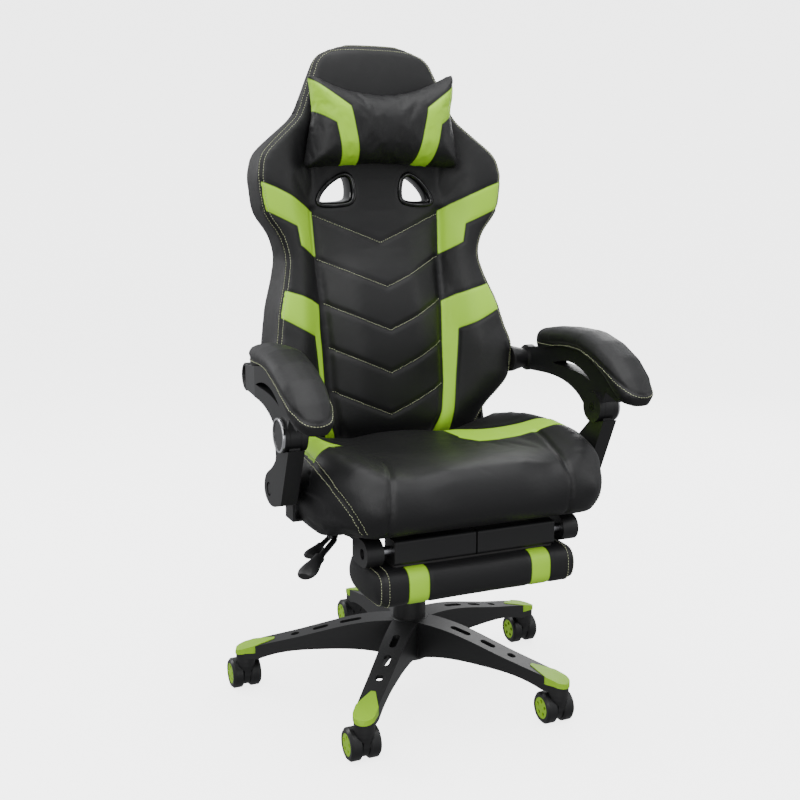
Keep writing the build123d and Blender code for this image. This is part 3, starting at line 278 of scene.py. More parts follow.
# %% [markdown]
# Moulded plastic is never one flat value: it has a fine spark-eroded grain, and its tone drifts
# a little over the surface.  Ground steel and stained plywood share one drawn-out noise, as
# scratches in the first and as grain in the second.

# %% Moulded and metal finishes
def moulded(name, colour, roughness, grain=1600.0, depth=0.00006):
    """Moulded plastic: fine grain in bump and sheen, and a slow drift in tone."""
    material, graph, shader = blank(name)
    drift = speckle(graph, "ShaderNodeTexNoise", 9.0).outputs["Fac"]
    fine = speckle(graph, "ShaderNodeTexNoise", grain, 3.0).outputs["Fac"]
    paler = tuple(min(1.0, c * 1.12 + 0.001) for c in colour)
    darker = tuple(c * 0.88 for c in colour)
    sheen = between_values(graph, fine, roughness - 0.06, roughness + 0.08)
    feed(graph, shader, Base_Color=tinted(graph, drift, darker, paler), Roughness=sheen)
    raised(graph, shader, fine, depth)
    return material


def pebbled(name, colour, roughness, cells=420.0, depth=0.00035):
    """Plastic with a raised pebble texture, as moulded grips and tread plates have."""
    material, graph, shader = blank(name)
    cell = speckle(graph, "ShaderNodeTexVoronoi", cells)
    drift = speckle(graph, "ShaderNodeTexNoise", 12.0).outputs["Fac"]
    paler = tuple(min(1.0, c * 1.1) for c in colour)
    darker = tuple(c * 0.82 for c in colour)
    feed(graph, shader, Base_Color=tinted(graph, drift, darker, paler), Roughness=roughness)
    raised(graph, shader, cell.outputs["Distance"], depth, 0.8)
    return material


def metal(name, colour, roughness):
    """Ground steel with a faint stretched scratch pattern."""
    material, graph, shader = blank(name)
    lines = stretched(graph, (0.04, 1.0, 1.0), Scale=900.0)
    sheen = between_values(graph, lines, roughness * 0.7, roughness * 1.4)
    paler = tuple(min(1.0, c * 1.15) for c in colour)
    tone = tinted(graph, lines, colour, paler)
    feed(graph, shader, Base_Color=tone, Roughness=sheen, Metallic=1.0)
    raised(graph, shader, lines, 0.00001)
    return material


def plywood_finish():
    """Plywood stained black: the stretched grain still shows in the stain."""
    material, graph, shader = blank("stained_plywood")
    grain = stretched(graph, (6.0, 1.0, 40.0), Scale=14.0, Detail=5.0)
    wood = tinted(graph, grain, (0.006, 0.006, 0.006), (0.02, 0.019, 0.018))
    feed(graph, shader, Base_Color=wood, Roughness=0.6)
    raised(graph, shader, grain, 0.0001)
    return material


LIME = (0.31, 0.60, 0.012)
BLACK = (0.008, 0.008, 0.0085)
NYLON_BLACK = (0.010, 0.010, 0.0105)
PAINT_BLACK = (0.009, 0.009, 0.0095)
gloss_black = moulded("bezel_gloss", (0.005, 0.005, 0.0055), 0.12, depth=0.00001)
finish_of_slot = {
    "base_nylon": moulded("base_nylon", NYLON_BLACK, 0.42, 700.0, 0.0001),
    "black_plastic": moulded("black_plastic", BLACK, 0.4),
    "grip_plastic": moulded("grip_plastic", BLACK, 0.45, 900.0, 0.0001),
    "guide_plastic": moulded("guide_plastic", (0.62, 0.62, 0.58), 0.35),
    "lime_plastic": moulded("lime_disc_plastic", LIME, 0.38),
    "tyre_black": moulded("tyre_black", BLACK, 0.33, 500.0),
    "gloss_black": gloss_black,
    "bright_steel": metal("bright_steel", (0.42, 0.42, 0.44), 0.28),
    "painted_steel": moulded("black_powder_coat", PAINT_BLACK, 0.42, 1100.0, 0.00012),
    "plywood": plywood_finish(),
}
finish_of_node = {"leg_tip_caps": pebbled("lime_tip_plastic", LIME, 0.4)}
print("hard finishes:", len(finish_of_slot), "by slot and", len(finish_of_node), "by node")

# %% [markdown]
# A hub cap is one moulding with two finishes: a black dish inside a chrome-plated rim.  The
# shader measures how far a spot is from the pivot's axis and changes from one to the other
# within a fifth of a millimetre.

# %% Hub cap finish
RIM_WIDTH = 0.0035
RIM_BLUR = 0.0001


def hub_cap_finish(cap):
    """Chrome on the rim of a hub cap and gloss black inside it."""
    material, graph, shader = blank(cap.name + "_finish")
    spots = np.array([v.co[:] for v in cap.data.vertices])
    middle = (spots.min(axis=0) + spots.max(axis=0)) / 2
    radius = (spots[:, 1].max() - spots[:, 1].min()) / 2
    shift = add(graph, "ShaderNodeVectorMath", operation="SUBTRACT")
    shift.inputs[1].default_value = middle
    flat = add(graph, "ShaderNodeVectorMath", operation="MULTIPLY")
    flat.inputs[1].default_value = (0, 1, 1)
    away = add(graph, "ShaderNodeVectorMath", operation="LENGTH")
    graph.links.new(place(graph), shift.inputs[0])
    graph.links.new(shift.outputs[0], flat.inputs[0])
    graph.links.new(flat.outputs[0], away.inputs[0])
    inner = radius - RIM_WIDTH
    mask = between_values(graph, away.outputs["Value"], 0, 1, inner - RIM_BLUR, inner + RIM_BLUR)
    two_tone = tinted(graph, mask, (0.006, 0.006, 0.0065), (0.72, 0.72, 0.74))
    sheen = between_values(graph, mask, 0.25, 0.08)
    feed(graph, shader, Base_Color=two_tone, Roughness=sheen, Metallic=mask)
    return material


for cap in ("hub_cap_left", "hub_cap_right"):
    finish_of_node[cap] = hub_cap_finish(frame["nodes"][cap])
print("hub cap finishes:", finish_of_node["hub_cap_left"].name, "and its mirror image")

# %% [markdown]
# Each hard node keeps its mesh and only gets its finish.  The record names a material slot for
# every node; a few nodes have a finish of their own.  The soft nodes are left out, since new
# pieces will take their place.

# %% Dress the hard parts
hard_nodes = 0
for subpart in frame["record"]["subparts"]:
    node = subpart["node"]
    finish = finish_of_node.get(node) or finish_of_slot.get(subpart["material_slot"])
    if finish:
        materials = frame["nodes"][node].data.materials
        materials.clear()
        materials.append(finish)
        hard_nodes += 1
print("dressed", hard_nodes, "hard nodes")

# %% [markdown]
# ## How the soft parts are made
#
# Every soft part follows the same five steps.  Its form is taken from the engineering model's
# plain solid, so it always fits.  It gets an even mesh.  A cloth simulation blows it up a
# little, held along the seams, which gives full panels with tight edges.  The seams are pressed
# in.  Last, stitches are laid along them.
#
# The helpers come first: lines, then meshes.

# %% Lines
def evenly(points, spacing=0.003):
    """The same line with a point every few millimetres."""
    line = np.array(points, float)
    run = np.concatenate([[0], np.cumsum(np.linalg.norm(np.diff(line, axis=0), axis=1))])
    at = np.linspace(0, run[-1], max(2, int(round(run[-1] / spacing)) + 1))
    return np.column_stack([np.interp(at, run, line[:, k]) for k in range(line.shape[1])])


def flowing(points, spacing=0.003):
    """An even line along a smooth curve through a few chosen points."""
    key = np.array(points, float)
    key = np.vstack([2 * key[0] - key[1], key, 2 * key[-1] - key[-2]])
    dense = []
    for a, b, c, d in zip(key, key[1:], key[2:], key[3:]):
        chord = np.linalg.norm(c - b)
        leave = (c - a) / (np.linalg.norm(b - a) + chord) * chord
        arrive = (d - b) / (np.linalg.norm(d - c) + chord) * chord
        for t in np.linspace(0, 1, 12, endpoint=False):
            dense.append(
                (2 * t**3 - 3 * t**2 + 1) * b
                + (t**3 - 2 * t**2 + t) * leave
                + (3 * t**2 - 2 * t**3) * c
                + (t**3 - t**2) * arrive
            )
    dense.append(key[-2])
    return evenly(dense, spacing)


def distance_to(points, lines):
    """How far each point is from the nearest of some lines, and which line point that is."""
    knots = np.vstack(lines)
    tree = KDTree(len(knots))
    for k, knot in enumerate(knots):
        tree.insert(knot, k)
    tree.balance()
    found = [tree.find(p) for p in points]
    return np.array([f[2] for f in found]), np.array([f[0] for f in found])


def inside(points, outline):
    """Distance of flat points from an outline's edge: positive inside, negative outside."""
    corner = np.array(outline, float)
    following = np.roll(corner, -1, axis=0)
    nearest = np.full(len(points), np.inf)
    within = np.zeros(len(points), bool)
    for a, b in zip(corner, following):
        along = np.clip(((points - a) @ (b - a)) / ((b - a) @ (b - a)), 0, 1)
        nearest = np.minimum(nearest, np.linalg.norm(points - a - along[:, None] * (b - a), axis=1))
        crosses = (a[1] > points[:, 1]) != (b[1] > points[:, 1])
        rise = b[1] - a[1] if b[1] != a[1] else 1.0
        within ^= crosses & (points[:, 0] < a[0] + (points[:, 1] - a[1]) / rise * (b[0] - a[0]))
    return np.where(within, nearest, -nearest)


print("line helpers ready")

# %% [markdown]
# Meshes are handled as arrays of points.  `even_mesh` gives a piece the fine regular mesh that
# cloth needs and melts away the flat facets of the engineering solid.

# %% Meshes
def points_of(piece):
    """All the points of a mesh as an array."""
    flat = np.empty(len(piece.data.vertices) * 3)
    piece.data.vertices.foreach_get("co", flat)
    return flat.reshape(-1, 3)


def move_points(piece, points):
    """Writes an array of points back to a mesh."""
    piece.data.vertices.foreach_set("co", np.ascontiguousarray(points, float).ravel())
    piece.data.update()


def normals_of(piece):
    """The outward direction at every point."""
    flat = np.empty(len(piece.data.vertices) * 3)
    piece.data.vertex_normals.foreach_get("vector", flat)
    return flat.reshape(-1, 3)


def solid_mesh(*nodes):
    """The points and faces of some of the frame's solids, together."""
    points, faces = [], []
    for node in nodes:
        mesh = frame["nodes"][node].data
        faces += [tuple(i + len(points) for i in p.vertices) for p in mesh.polygons]
        points += [tuple(v.co) for v in mesh.vertices]
    return points, faces


def new_piece(name, points, faces):
    """A mesh object in the scene, with its faces turned outward."""
    mesh = bpy.data.meshes.new(name)
    mesh.from_pydata([tuple(p) for p in points], [], faces)
    shell = bmesh.new()
    shell.from_mesh(mesh)
    bmesh.ops.remove_doubles(shell, verts=shell.verts, dist=0.00002)
    bmesh.ops.recalc_face_normals(shell, faces=shell.faces)
    shell.to_mesh(mesh)
    shell.free()
    piece = bpy.data.objects.new(name, mesh)
    scene.collection.objects.link(piece)
    return piece


def wall(sides, low, high):
    """The faces between two rings of points, given the number of each ring's first point."""
    after = [(k + 1) % sides for k in range(sides)]
    return [(low + k, low + j, high + j, high + k) for k, j in enumerate(after)]


def stacked(name, rings):
    """A closed piece through rings of points, one above the other."""
    sides = len(rings[0])
    points = [p for ring in rings for p in ring]
    faces = [tuple(range(sides)), tuple(range(len(points) - sides, len(points)))]
    for low in range(0, len(points) - sides, sides):
        faces += wall(sides, low, low + sides)
    return new_piece(name, points, faces)


def bake(piece):
    """Turns the modifiers of a piece into its own mesh."""
    graph = bpy.context.evaluated_depsgraph_get()
    mesh = bpy.data.meshes.new_from_object(piece.evaluated_get(graph))
    piece.modifiers.clear()
    piece.data = mesh
    mesh.shade_smooth()


def even_mesh(piece, cell, smooth=12):
    """Remeshes a piece into even small faces and softens it."""
    remesh = piece.modifiers.new("even", "REMESH")
    remesh.mode = "VOXEL"
    remesh.voxel_size = cell
    soften = piece.modifiers.new("soften", "SMOOTH")
    soften.factor = 0.5
    soften.iterations = smooth
    bake(piece)


def finer(piece):
    """Splits every face in four and rounds the mesh."""
    piece.modifiers.new("finer", "SUBSURF").levels = 1
    bake(piece)


print("mesh helpers ready")

# %% [markdown]
# Seam lines are drawn onto a finished form.  `laid_on` drops each point of a line to the nearest
# spot of the surface and can shift the line sideways along it; `cast` sends the points along one
# direction, for lines that are given as seen from the front or from above.

# %% Lines on a surface
def surface_of(piece):
    """A search tree over the faces of a piece."""
    faces = [tuple(p.vertices) for p in piece.data.polygons]
    return BVHTree.FromPolygons([tuple(v.co) for v in piece.data.vertices], faces)


def laid_on(surface, line, offset=0.0):
    """A line drawn onto a surface, moved sideways along it; gives the points and directions."""
    line = np.array(line)
    along = np.gradient(line, axis=0)
    along /= np.linalg.norm(along, axis=1)[:, None]
    spots, facing = [], []
    for p, t in zip(line, along):
        spot, up, _, _ = surface.find_nearest(p)
        if offset:
            spot, up, _, _ = surface.find_nearest(spot + up.cross(Vector(t)).normalized() * offset)
        spots.append(spot)
        facing.append(up)
    return np.array(spots), np.array(facing)


def cast(surface, points, way):
    """Points sent along one direction onto a surface; those that miss it are dropped."""
    spots = [surface.ray_cast(Vector(p), Vector(way))[0] for p in points]
    return np.array([s for s in spots if s is not None])


def mirrored(points, side):
    """Points of the left half as they are for side 1, swapped to the right half for side -1."""
    return np.array(points) * np.array((side, 1, 1))


print("surface helpers ready")

# %% [markdown]
# The cloth step works on a copy of the piece.  The cloth is pressed outward from inside and
# held at its seams, exactly like a cover on foam.  The result is limited with a soft ceiling,
# so no panel can swell past a chosen height.  `pinch` presses lines in, or with a negative depth
# lets them swell.

# %% Blow up and press in
FRAMES = 20
CLOTH = {
    "quality": 4, "mass": 0.25, "tension_stiffness": 18, "compression_stiffness": 18,
    "shear_stiffness": 8, "bending_stiffness": 1.5, "vertex_group_mass": "held",
    "pin_stiffness": 6, "use_pressure": True, "uniform_pressure_force": 4.0
}


def puffed(piece, seams, ceiling, reach=0.012, slack=0.0):
    """Cloth filled with pressure and held along its seams."""
    rest = points_of(piece)
    gap, _ = distance_to(rest, seams)
    held = np.exp(-((gap / reach) ** 2))
    balloon = piece.copy()
    balloon.data = piece.data.copy()
    scene.collection.objects.link(balloon)
    group = balloon.vertex_groups.new(name="held")
    for k in np.nonzero(held > 0.02)[0]:
        group.add([int(k)], float(held[k]), "REPLACE")
    cloth = balloon.modifiers.new("cloth", "CLOTH")
    for key, value in CLOTH.items():
        setattr(cloth.settings, key, value)
    cloth.settings.shrink_min = -slack
    cloth.settings.effector_weights.gravity = 0
    cloth.point_cache.frame_start = 1
    cloth.point_cache.frame_end = FRAMES
    for step in range(1, FRAMES + 1):
        scene.frame_set(step)
    graph = bpy.context.evaluated_depsgraph_get()
    blown = balloon.evaluated_get(graph)
    after = np.array([v.co for v in blown.data.vertices])
    bpy.data.objects.remove(balloon)
    scene.frame_set(1)
    shift = after - rest
    length = np.linalg.norm(shift, axis=1) + 1e-9
    print(piece.name, "cloth moved", round(float(length.max()) * 1000, 1), "mm at most")
    move_points(piece, rest + shift * (ceiling * np.tanh(length / ceiling) / length)[:, None])


def pinch(piece, lines, depth, width):
    """Presses lines into a piece."""
    rest = points_of(piece)
    gap, _ = distance_to(rest, lines)
    push = depth * np.exp(-((gap / width) ** 2))
    move_points(piece, rest - normals_of(piece) * push[:, None])


def gather(piece, line, depth, reach, pitch):
    """Small puckers that run away from a seam, as vinyl pulled tight has."""
    rest = points_of(piece)
    gap, knot = distance_to(rest, [line])
    spread = np.exp(-((gap / reach) ** 1.5)) * (1 - np.exp(-((gap / 0.003) ** 2)))
    wave = np.array([noise.noise(Vector(spot) / pitch) for spot in knot])
    move_points(piece, rest + normals_of(piece) * (depth * wave * spread)[:, None])


def mark(piece, name, values):
    """Keeps one number per point for the shader to read."""
    layer = piece.data.attributes.new(name, "FLOAT", "POINT")
    layer.data.foreach_set("value", np.ascontiguousarray(values, np.float32))


print("cloth helpers ready")

# %% [markdown]
# Stitches are real thread: each one is a short tube that rises out of the vinyl, arches over and
# dips back in.  All the stitches of a part are one piece.

# %% Stitches
STITCH_PITCH = 0.005
STITCH_LENGTH = 0.0038
THREAD_RADIUS = 0.0005
THREAD_SIDES = 5
# one stitch, as (along in half lengths, up in radii, thickness in radii)
ARCH = ((-1, -0.9, 0.5), (-0.5, 0.5, 1.0), (0, 0.9, 1.0), (0.5, 0.5, 1.0), (1, -0.9, 0.5))


def stitches(name, surface, rows, body):
    """Rows of short arched stitches along lines on a surface, as one piece."""
    sides, points, faces = THREAD_SIDES, [], []
    for line in rows:
        spots, ups = laid_on(surface, evenly(line, STITCH_PITCH))
        ahead = np.gradient(spots, axis=0)
        ahead /= np.linalg.norm(ahead, axis=1)[:, None] + 1e-12
        for spot, up, along in zip(spots, ups, ahead):
            across = np.cross(up, along)
            first = len(points)
            for reach, height, girth in ARCH:
                middle = spot + along * reach * STITCH_LENGTH / 2 + up * height * THREAD_RADIUS
                for k in range(sides):
                    turn = 2 * math.pi * k / sides
                    around = across * math.cos(turn) + up * math.sin(turn)
                    points.append(middle + around * THREAD_RADIUS * girth)
            for low in range(first, len(points) - sides, sides):
                faces += wall(sides, low, low + sides)
            faces.append(tuple(range(first, first + sides)))
            faces.append(tuple(range(len(points) - 1, len(points) - 1 - sides, -1)))
    piece = new_piece(name, points, faces)
    piece.data.shade_smooth()
    piece.data.materials.append(thread)
    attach(piece, body)
    print(name, "has", len(points) // (sides * len(ARCH)), "stitches")


def both_sides(surface, line, offset):
    """Two rows of stitching, one on either side of a seam."""
    return [laid_on(surface, line, side * offset)[0] for side in (-1, 1)]


print("stitching helpers ready")

# %% [markdown]
# The vinyl is one material for the whole chair.  Each piece carries a number per point, `lime`,
# which is the distance to the edge of its lime panels.  The shader cuts that number at zero, so
# a colour border stays razor sharp however coarse the mesh is.  A second number, `seam`, is the
# distance to the seams.  The shader paints shade into the last two millimetres beside each seam
# and each lime border, in place of the shadow in the crease.

# %% Vinyl, thread and elastic
BORDER_BLUR = 0.0004
# painted shade beside seams and lime borders: the darkest colour factor, and the distances in
# metres over which it fades out
SEAM_SHADE, SHADE_REACH = 0.15, (0.0006, 0.0022)


def vinyl_finish():
    """Black and lime vinyl with a fine grain, and painted shade beside its seams and lime borders.
    """
    material, graph, shader = blank("panelled_vinyl")
    lime_at = add(graph, "ShaderNodeAttribute", attribute_name="lime").outputs["Fac"]
    seam_at = add(graph, "ShaderNodeAttribute", attribute_name="seam").outputs["Fac"]
    panel_mask = between_values(graph, lime_at, 0, 1, -BORDER_BLUR, BORDER_BLUR)
    drift = speckle(graph, "ShaderNodeTexNoise", 7.0).outputs["Fac"]
    black_tone = tinted(graph, drift, (0.0055, 0.0055, 0.006), BLACK)
    lime_tone = tinted(graph, drift, (0.37, 0.71, 0.024), (0.41, 0.77, 0.030))
    colour = mixed(graph, panel_mask, black_tone, lime_tone)
    # painted shade: the colour is darkened within about two millimetres of a lime border or a seam,
    # in place of the shadow in the crease
    border = add(graph, "ShaderNodeMath", operation="ABSOLUTE")
    nearest = add(graph, "ShaderNodeMath", operation="MINIMUM")
    graph.links.new(lime_at, border.inputs[0])
    graph.links.new(border.outputs[0], nearest.inputs[0])
    graph.links.new(seam_at, nearest.inputs[1])
    shade = between_values(graph, nearest.outputs[0], SEAM_SHADE, 1.0, *SHADE_REACH)
    seam_shaded_colour = mixed(graph, 1.0, colour, shade, blend_type="MULTIPLY")
    grain = speckle(graph, "ShaderNodeTexVoronoi", 900.0).outputs["Distance"]
    crumple = speckle(graph, "ShaderNodeTexNoise", 60.0, 4.0).outputs["Fac"]
    sheen = between_values(graph, crumple, 0.46, 0.56)
    feed(graph, shader, Base_Color=seam_shaded_colour, Roughness=sheen, Specular_IOR_Level=0.4)
    fine = raised(graph, shader, grain, 0.00012, 0.7)
    broad = add(graph, "ShaderNodeBump", Strength=0.12, Distance=0.0006)
    feed(graph, broad, Height=crumple)
    feed(graph, fine, Normal=broad.outputs["Normal"])
    return material


def woven(name, colour, ribs):
    """Ribbed woven elastic or twisted thread."""
    material, graph, shader = blank(name)
    rib = add(graph, "ShaderNodeTexWave", Scale=ribs, Distortion=0.6)
    rib.bands_direction = "Z"
    feed(graph, rib, Vector=place(graph))
    darker = tuple(c * 0.7 for c in colour)
    tone = tinted(graph, rib.outputs["Fac"], darker, colour)
    feed(graph, shader, Base_Color=tone, Roughness=0.8)
    raised(graph, shader, rib.outputs["Fac"], 0.0003)
    return material


def dressed(piece, body, lime, seams):
    """Gives a soft piece its marks, its vinyl and its place on a moving body."""
    mark(piece, "lime", lime)
    # the seam mark is the distance to the seams; the vinyl shader uses it to paint shade beside
    # them
    mark(piece, "seam", distance_to(points_of(piece), seams)[0])
    piece.data.materials.append(vinyl)
    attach(piece, body)


vinyl = vinyl_finish()
thread = woven("stitching_thread", (0.78, 0.83, 0.52), 700.0)
elastic = woven("strap_elastic", (0.018, 0.018, 0.019), 260.0)
print("soft finishes:", vinyl.name, thread.name, elastic.name)

# %% [markdown]
# ## The back
#
# The back is one tall padded shell.  Its form is measured on the engineering solid: at every
# height, rays are sent in from the front, the rear and the sides.  Where a ray finds one of the
# two open eyes, the form is bridged for now and the eye is cut out afterwards.  The heights
# beside the pivots of the arms are bridged too, because the bores there would leave dents.

# %% Measure the back
LEVELS = 130
ACROSS = 61
CORNER = 0.012
ARM_BORE_HEIGHT, ARM_BORE_REACH = 0.617, 0.036
EDGE_COLUMNS = 10
back_low, back_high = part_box("back_cushion")


def reach(surface, start, way):
    """Where a ray meets a surface along one axis, or nothing."""
    spot = surface.ray_cast(Vector(start), Vector(way))[0]
    axis = int(np.argmax(np.abs(way)))
    return np.nan if spot is None else spot[axis]


def bridged(values):
    """Fills the gaps in a row of measurements with straight lines."""
    at = np.arange(len(values))
    known = ~np.isnan(values)
    return np.interp(at, at[known], values[known])


def across(half):
    """Places over a face of the back, from one rounded corner to the other."""
    return np.linspace(-1, 1, ACROSS) * (half - min(CORNER, half * 0.1))


def softened(grid, passes):
    """Smooths measurements along their first direction."""
    for _ in range(passes):
        inner = (grid[:-2] + 2 * grid[1:-1] + grid[2:]) / 4
        grid = np.concatenate([grid[:1], inner, grid[-1:]])
    return grid


back_solid = BVHTree.FromPolygons(*solid_mesh("back_cushion", "back_shell"))
heights = np.linspace(back_low[2] + 0.0005, back_high[2] - 0.0005, LEVELS)
half_width, front_face, rear_face = [], [], []
for z in heights:
    front = reach(back_solid, (0, -1, z), (0, 1, 0))
    rear = reach(back_solid, (0, 1, z), (0, -1, 0))
    depths = front + (rear - front) * np.array((0.3, 0.55, 0.8))
    half = np.nanmax([-reach(back_solid, (-1, y, z), (1, 0, 0)) for y in depths])
    half_width.append(half)
    for face, y in ((front_face, -1), (rear_face, 1)):
        row = [reach(back_solid, (x, y, z), (0, -y, 0)) for x in across(half)]
        face.append(bridged(np.array(row)))
half_width, front_face, rear_face = map(np.array, (half_width, front_face, rear_face))
beside_arm = np.abs(heights - ARM_BORE_HEIGHT) < ARM_BORE_REACH
front_edges = (front_face[:, :EDGE_COLUMNS], front_face[:, -EDGE_COLUMNS:])
for grid in (half_width[:, None], *front_edges, rear_face):
    for column in grid.T:
        known = heights[~beside_arm]
        column[beside_arm] = np.interp(heights[beside_arm], known, column[~beside_arm])
half_width = softened(half_width, 5)
front_face = softened(softened(front_face, 6).T, 3).T
rear_face = softened(softened(rear_face, 6).T, 3).T
print("back measured at", LEVELS, "heights;", round(2 * float(half_width.max()), 3), "m wide")

# %% [markdown]
# Each height gives one closed ring: front face, rounded corner, side, rounded corner, rear.
# The two long seams will run exactly along the rounded corners.

# %% Rings of the back
def back_ring(k):
    """The outline of the back at one height."""
    half, front, rear, z = half_width[k], front_face[k], rear_face[k], heights[k]
    places = across(half)
    turn = min(CORNER, 0.3 * (rear[0] - front[0]), 0.3 * (rear[-1] - front[-1]))
    side = np.linspace(0, 1, 7)
    ring = [(x, y, z) for x, y in zip(places, front)]
    ring.append((half - turn * 0.3, front[-1] + turn * 0.3, z))
    ring += [(half, front[-1] + turn + s * (rear[-1] - front[-1] - 2 * turn), z) for s in side]
    ring.append((half - turn * 0.3, rear[-1] - turn * 0.3, z))
    ring += [(x, y, z) for x, y in zip(places[::-1], rear[::-1])]
    ring.append((turn * 0.3 - half, rear[0] - turn * 0.3, z))
    ring += [(-half, rear[0] - turn - s * (rear[0] - front[0] - 2 * turn), z) for s in side]
    ring.append((turn * 0.3 - half, front[0] + turn * 0.3, z))
    return ring


rings = [back_ring(k) for k in range(LEVELS)]
print("rings:", len(rings), "of", len(rings[0]), "points")

# %% [markdown]
# The rings are stacked into one closed form and the two eyes are cut through it.  The stack ends
# in a flat top, so its last two centimetres are smoothed into a crown.

# %% Back form with its two eyes
CROWN_DEPTH, CROWN_PASSES = 0.022, 12
EYE = np.array(
    ((0.119, 0.9225), (0.113, 0.937), (0.099, 0.954), (0.083, 0.967), (0.067, 0.9745),
     (0.056, 0.971), (0.0505, 0.959), (0.0485, 0.940), (0.0505, 0.926), (0.061, 0.9195),
     (0.086, 0.9175), (0.110, 0.9175))
)
EYE_CUT = 0.0005


def eye_outline(side, outward):
    """The rounded outline of one eye as seen from the front, grown or shrunk a little."""
    line = EYE
    for _ in range(3):
        following = np.roll(line, -1, axis=0)
        line = np.stack([0.75 * line + 0.25 * following, 0.25 * line + 0.75 * following], 1)
        line = line.reshape(-1, 2)
    along = np.roll(line, -1, axis=0) - np.roll(line, 1, axis=0)
    normal = np.column_stack([along[:, 1], -along[:, 0]])
    normal /= np.linalg.norm(normal, axis=1)[:, None]
    normal *= np.sign(((line - line.mean(axis=0)) * normal).sum())
    return (line + normal * outward) * np.array((side, 1))


def eye_block(side):
    """A block with the outline of one eye, long enough to cut through the back."""
    outline = eye_outline(side, EYE_CUT)
    sides = len(outline)
    block = bmesh.new()
    ends = [[block.verts.new((x, y, z)) for x, z in outline] for y in (-0.3, 0.5)]
    block.faces.new(ends[0])
    block.faces.new(ends[1][::-1])
    for k in range(sides):
        j = (k + 1) % sides
        block.faces.new((ends[0][j], ends[0][k], ends[1][k], ends[1][j]))
    bmesh.ops.recalc_face_normals(block, faces=block.faces)
    mesh = bpy.data.meshes.new("eye_block")
    block.to_mesh(mesh)
    block.free()
    cutter = bpy.data.objects.new("eye_block", mesh)
    scene.collection.objects.link(cutter)
    return cutter


def cut_out(piece, cutters):
    """Cuts some blocks out of a piece and throws the blocks away."""
    for cutter in cutters:
        cut = piece.modifiers.new("cut", "BOOLEAN")
        cut.operation = "DIFFERENCE"
        cut.solver = "EXACT"
        cut.object = cutter
    bake(piece)
    for cutter in cutters:
        bpy.data.objects.remove(cutter)


def round_top(piece, lowest, passes):
    """Smooths all of a piece that is above some height."""
    shell = bmesh.new()
    shell.from_mesh(piece.data)
    top = [v for v in shell.verts if v.co.z > lowest]
    axes = dict(use_axis_x=True, use_axis_y=True, use_axis_z=True)
    for _ in range(passes):
        bmesh.ops.smooth_vert(shell, verts=top, factor=0.5, **axes)
    shell.to_mesh(piece.data)
    shell.free()


back = stacked("back_upholstery", rings)
cut_out(back, [eye_block(side) for side in (-1, 1)])
even_mesh(back, 0.0055, 8)
round_top(back, back_high[2] - CROWN_DEPTH, CROWN_PASSES)
print("back:", len(back.data.vertices), "points")

# %% [markdown]
# Now the seams.  The long seams run along the front and rear corners.  Two deep seams, the
# valleys, part the centre panel from the wings, and five chevrons quilt the centre.  The lime
# stripes are outlines seen from the front, cut off at the seams.  On the sitter's right the black
# of the centre panel is pulled a little over the foot of the valley.

# %% Back seams
FRONT_CORNERS = (-1, ACROSS)
REAR_CORNERS = (-9, ACROSS + 8)
VALLEY = np.array(
    ((0.460, 0.094), (0.486, 0.100), (0.516, 0.111), (0.570, 0.118), (0.651, 0.120),
     (0.733, 0.124), (0.815, 0.127), (0.905, 0.130))
)
CHEVRONS = 5
CHEVRON_STEP = 0.082
CHEVRON_TOP = 0.898
CHEVRON_DROP = 0.051
UPPER_STRIPE = (
    (0.300, 0.984), (0.249, 0.964), (0.216, 0.952), (0.183, 0.937), (0.150, 0.918), (0.128, 0.903),
    (0.100, 0.890), (0.100, 0.802), (0.131, 0.820), (0.168, 0.845), (0.174, 0.880), (0.246, 0.913),
    (0.300, 0.938)
)
LOWER_STRIPE = (
    (0.300, 0.776), (0.204, 0.765), (0.175, 0.756), (0.150, 0.745), (0.130, 0.733), (0.090, 0.715),
    (0.080, 0.450), (0.128, 0.450), (0.134, 0.486), (0.138, 0.522), (0.143, 0.588), (0.150, 0.677),
    (0.214, 0.712), (0.300, 0.757)
)
VALLEY_TUCK = ((0.46, 0.52, 0.69, 0.76, 0.80), (0.014, 0.014, 0.012, 0.003, 0.0))


def long_seam(corners):
    """A seam up one corner of the back, over the top and down the other."""
    left, right = corners
    return evenly([ring[left] for ring in rings[3:-2]] + [ring[right] for ring in rings[-3:2:-1]])


front_seam, rear_seam = long_seam(FRONT_CORNERS), long_seam(REAR_CORNERS)
back_skin = surface_of(back)


def valley_at(z):
    """How far from the middle the centre panel ends, at a height."""
    return np.interp(z, VALLEY[:, 0], VALLEY[:, 1])


def front_line(points, smooth=False):
    """A line given as seen from the front, laid on the front of the back."""
    line = [(x, -0.2, z) for x, z in points]
    return cast(back_skin, flowing(line) if smooth else evenly(line), (0, 1, 0))


valleys = [front_line([(side * x, z) for z, x in VALLEY], True) for side in (-1, 1)]
chevrons = []
for k in range(CHEVRONS):
    ends = CHEVRON_TOP - k * CHEVRON_STEP
    arm = valley_at(ends) - 0.002
    chevrons.append(front_line([(-arm, ends), (0, ends - CHEVRON_DROP), (arm, ends)]))


def on_front(points):
    """Distance from the long front seam: positive on the front, negative round the side."""
    gap, knot = distance_to(points, [front_seam])
    away = points - knot
    inward = -np.sign(points[:, 0]) * away[:, 0] - 0.5 * away[:, 1]
    return gap * np.sign(inward)


def back_lime(points):
    """Distance from the edge of the lime panels, positive inside them."""
    flat = np.column_stack([np.abs(points[:, 0]), points[:, 2]])
    stripe = np.maximum(inside(flat, UPPER_STRIPE), inside(flat, LOWER_STRIPE))
    tuck = np.where(points[:, 0] < 0, np.interp(flat[:, 1], *VALLEY_TUCK), 0.0)
    past_valley = flat[:, 0] - valley_at(flat[:, 1]) - tuck
    return np.minimum.reduce([stripe, past_valley, on_front(points)])


def stripe_edges(outline, first, last):
    """The borders of a stripe that are seams of their own, on both wings."""
    return [front_line([(side * x, z) for x, z in outline[first:last]]) for side in (-1, 1)]


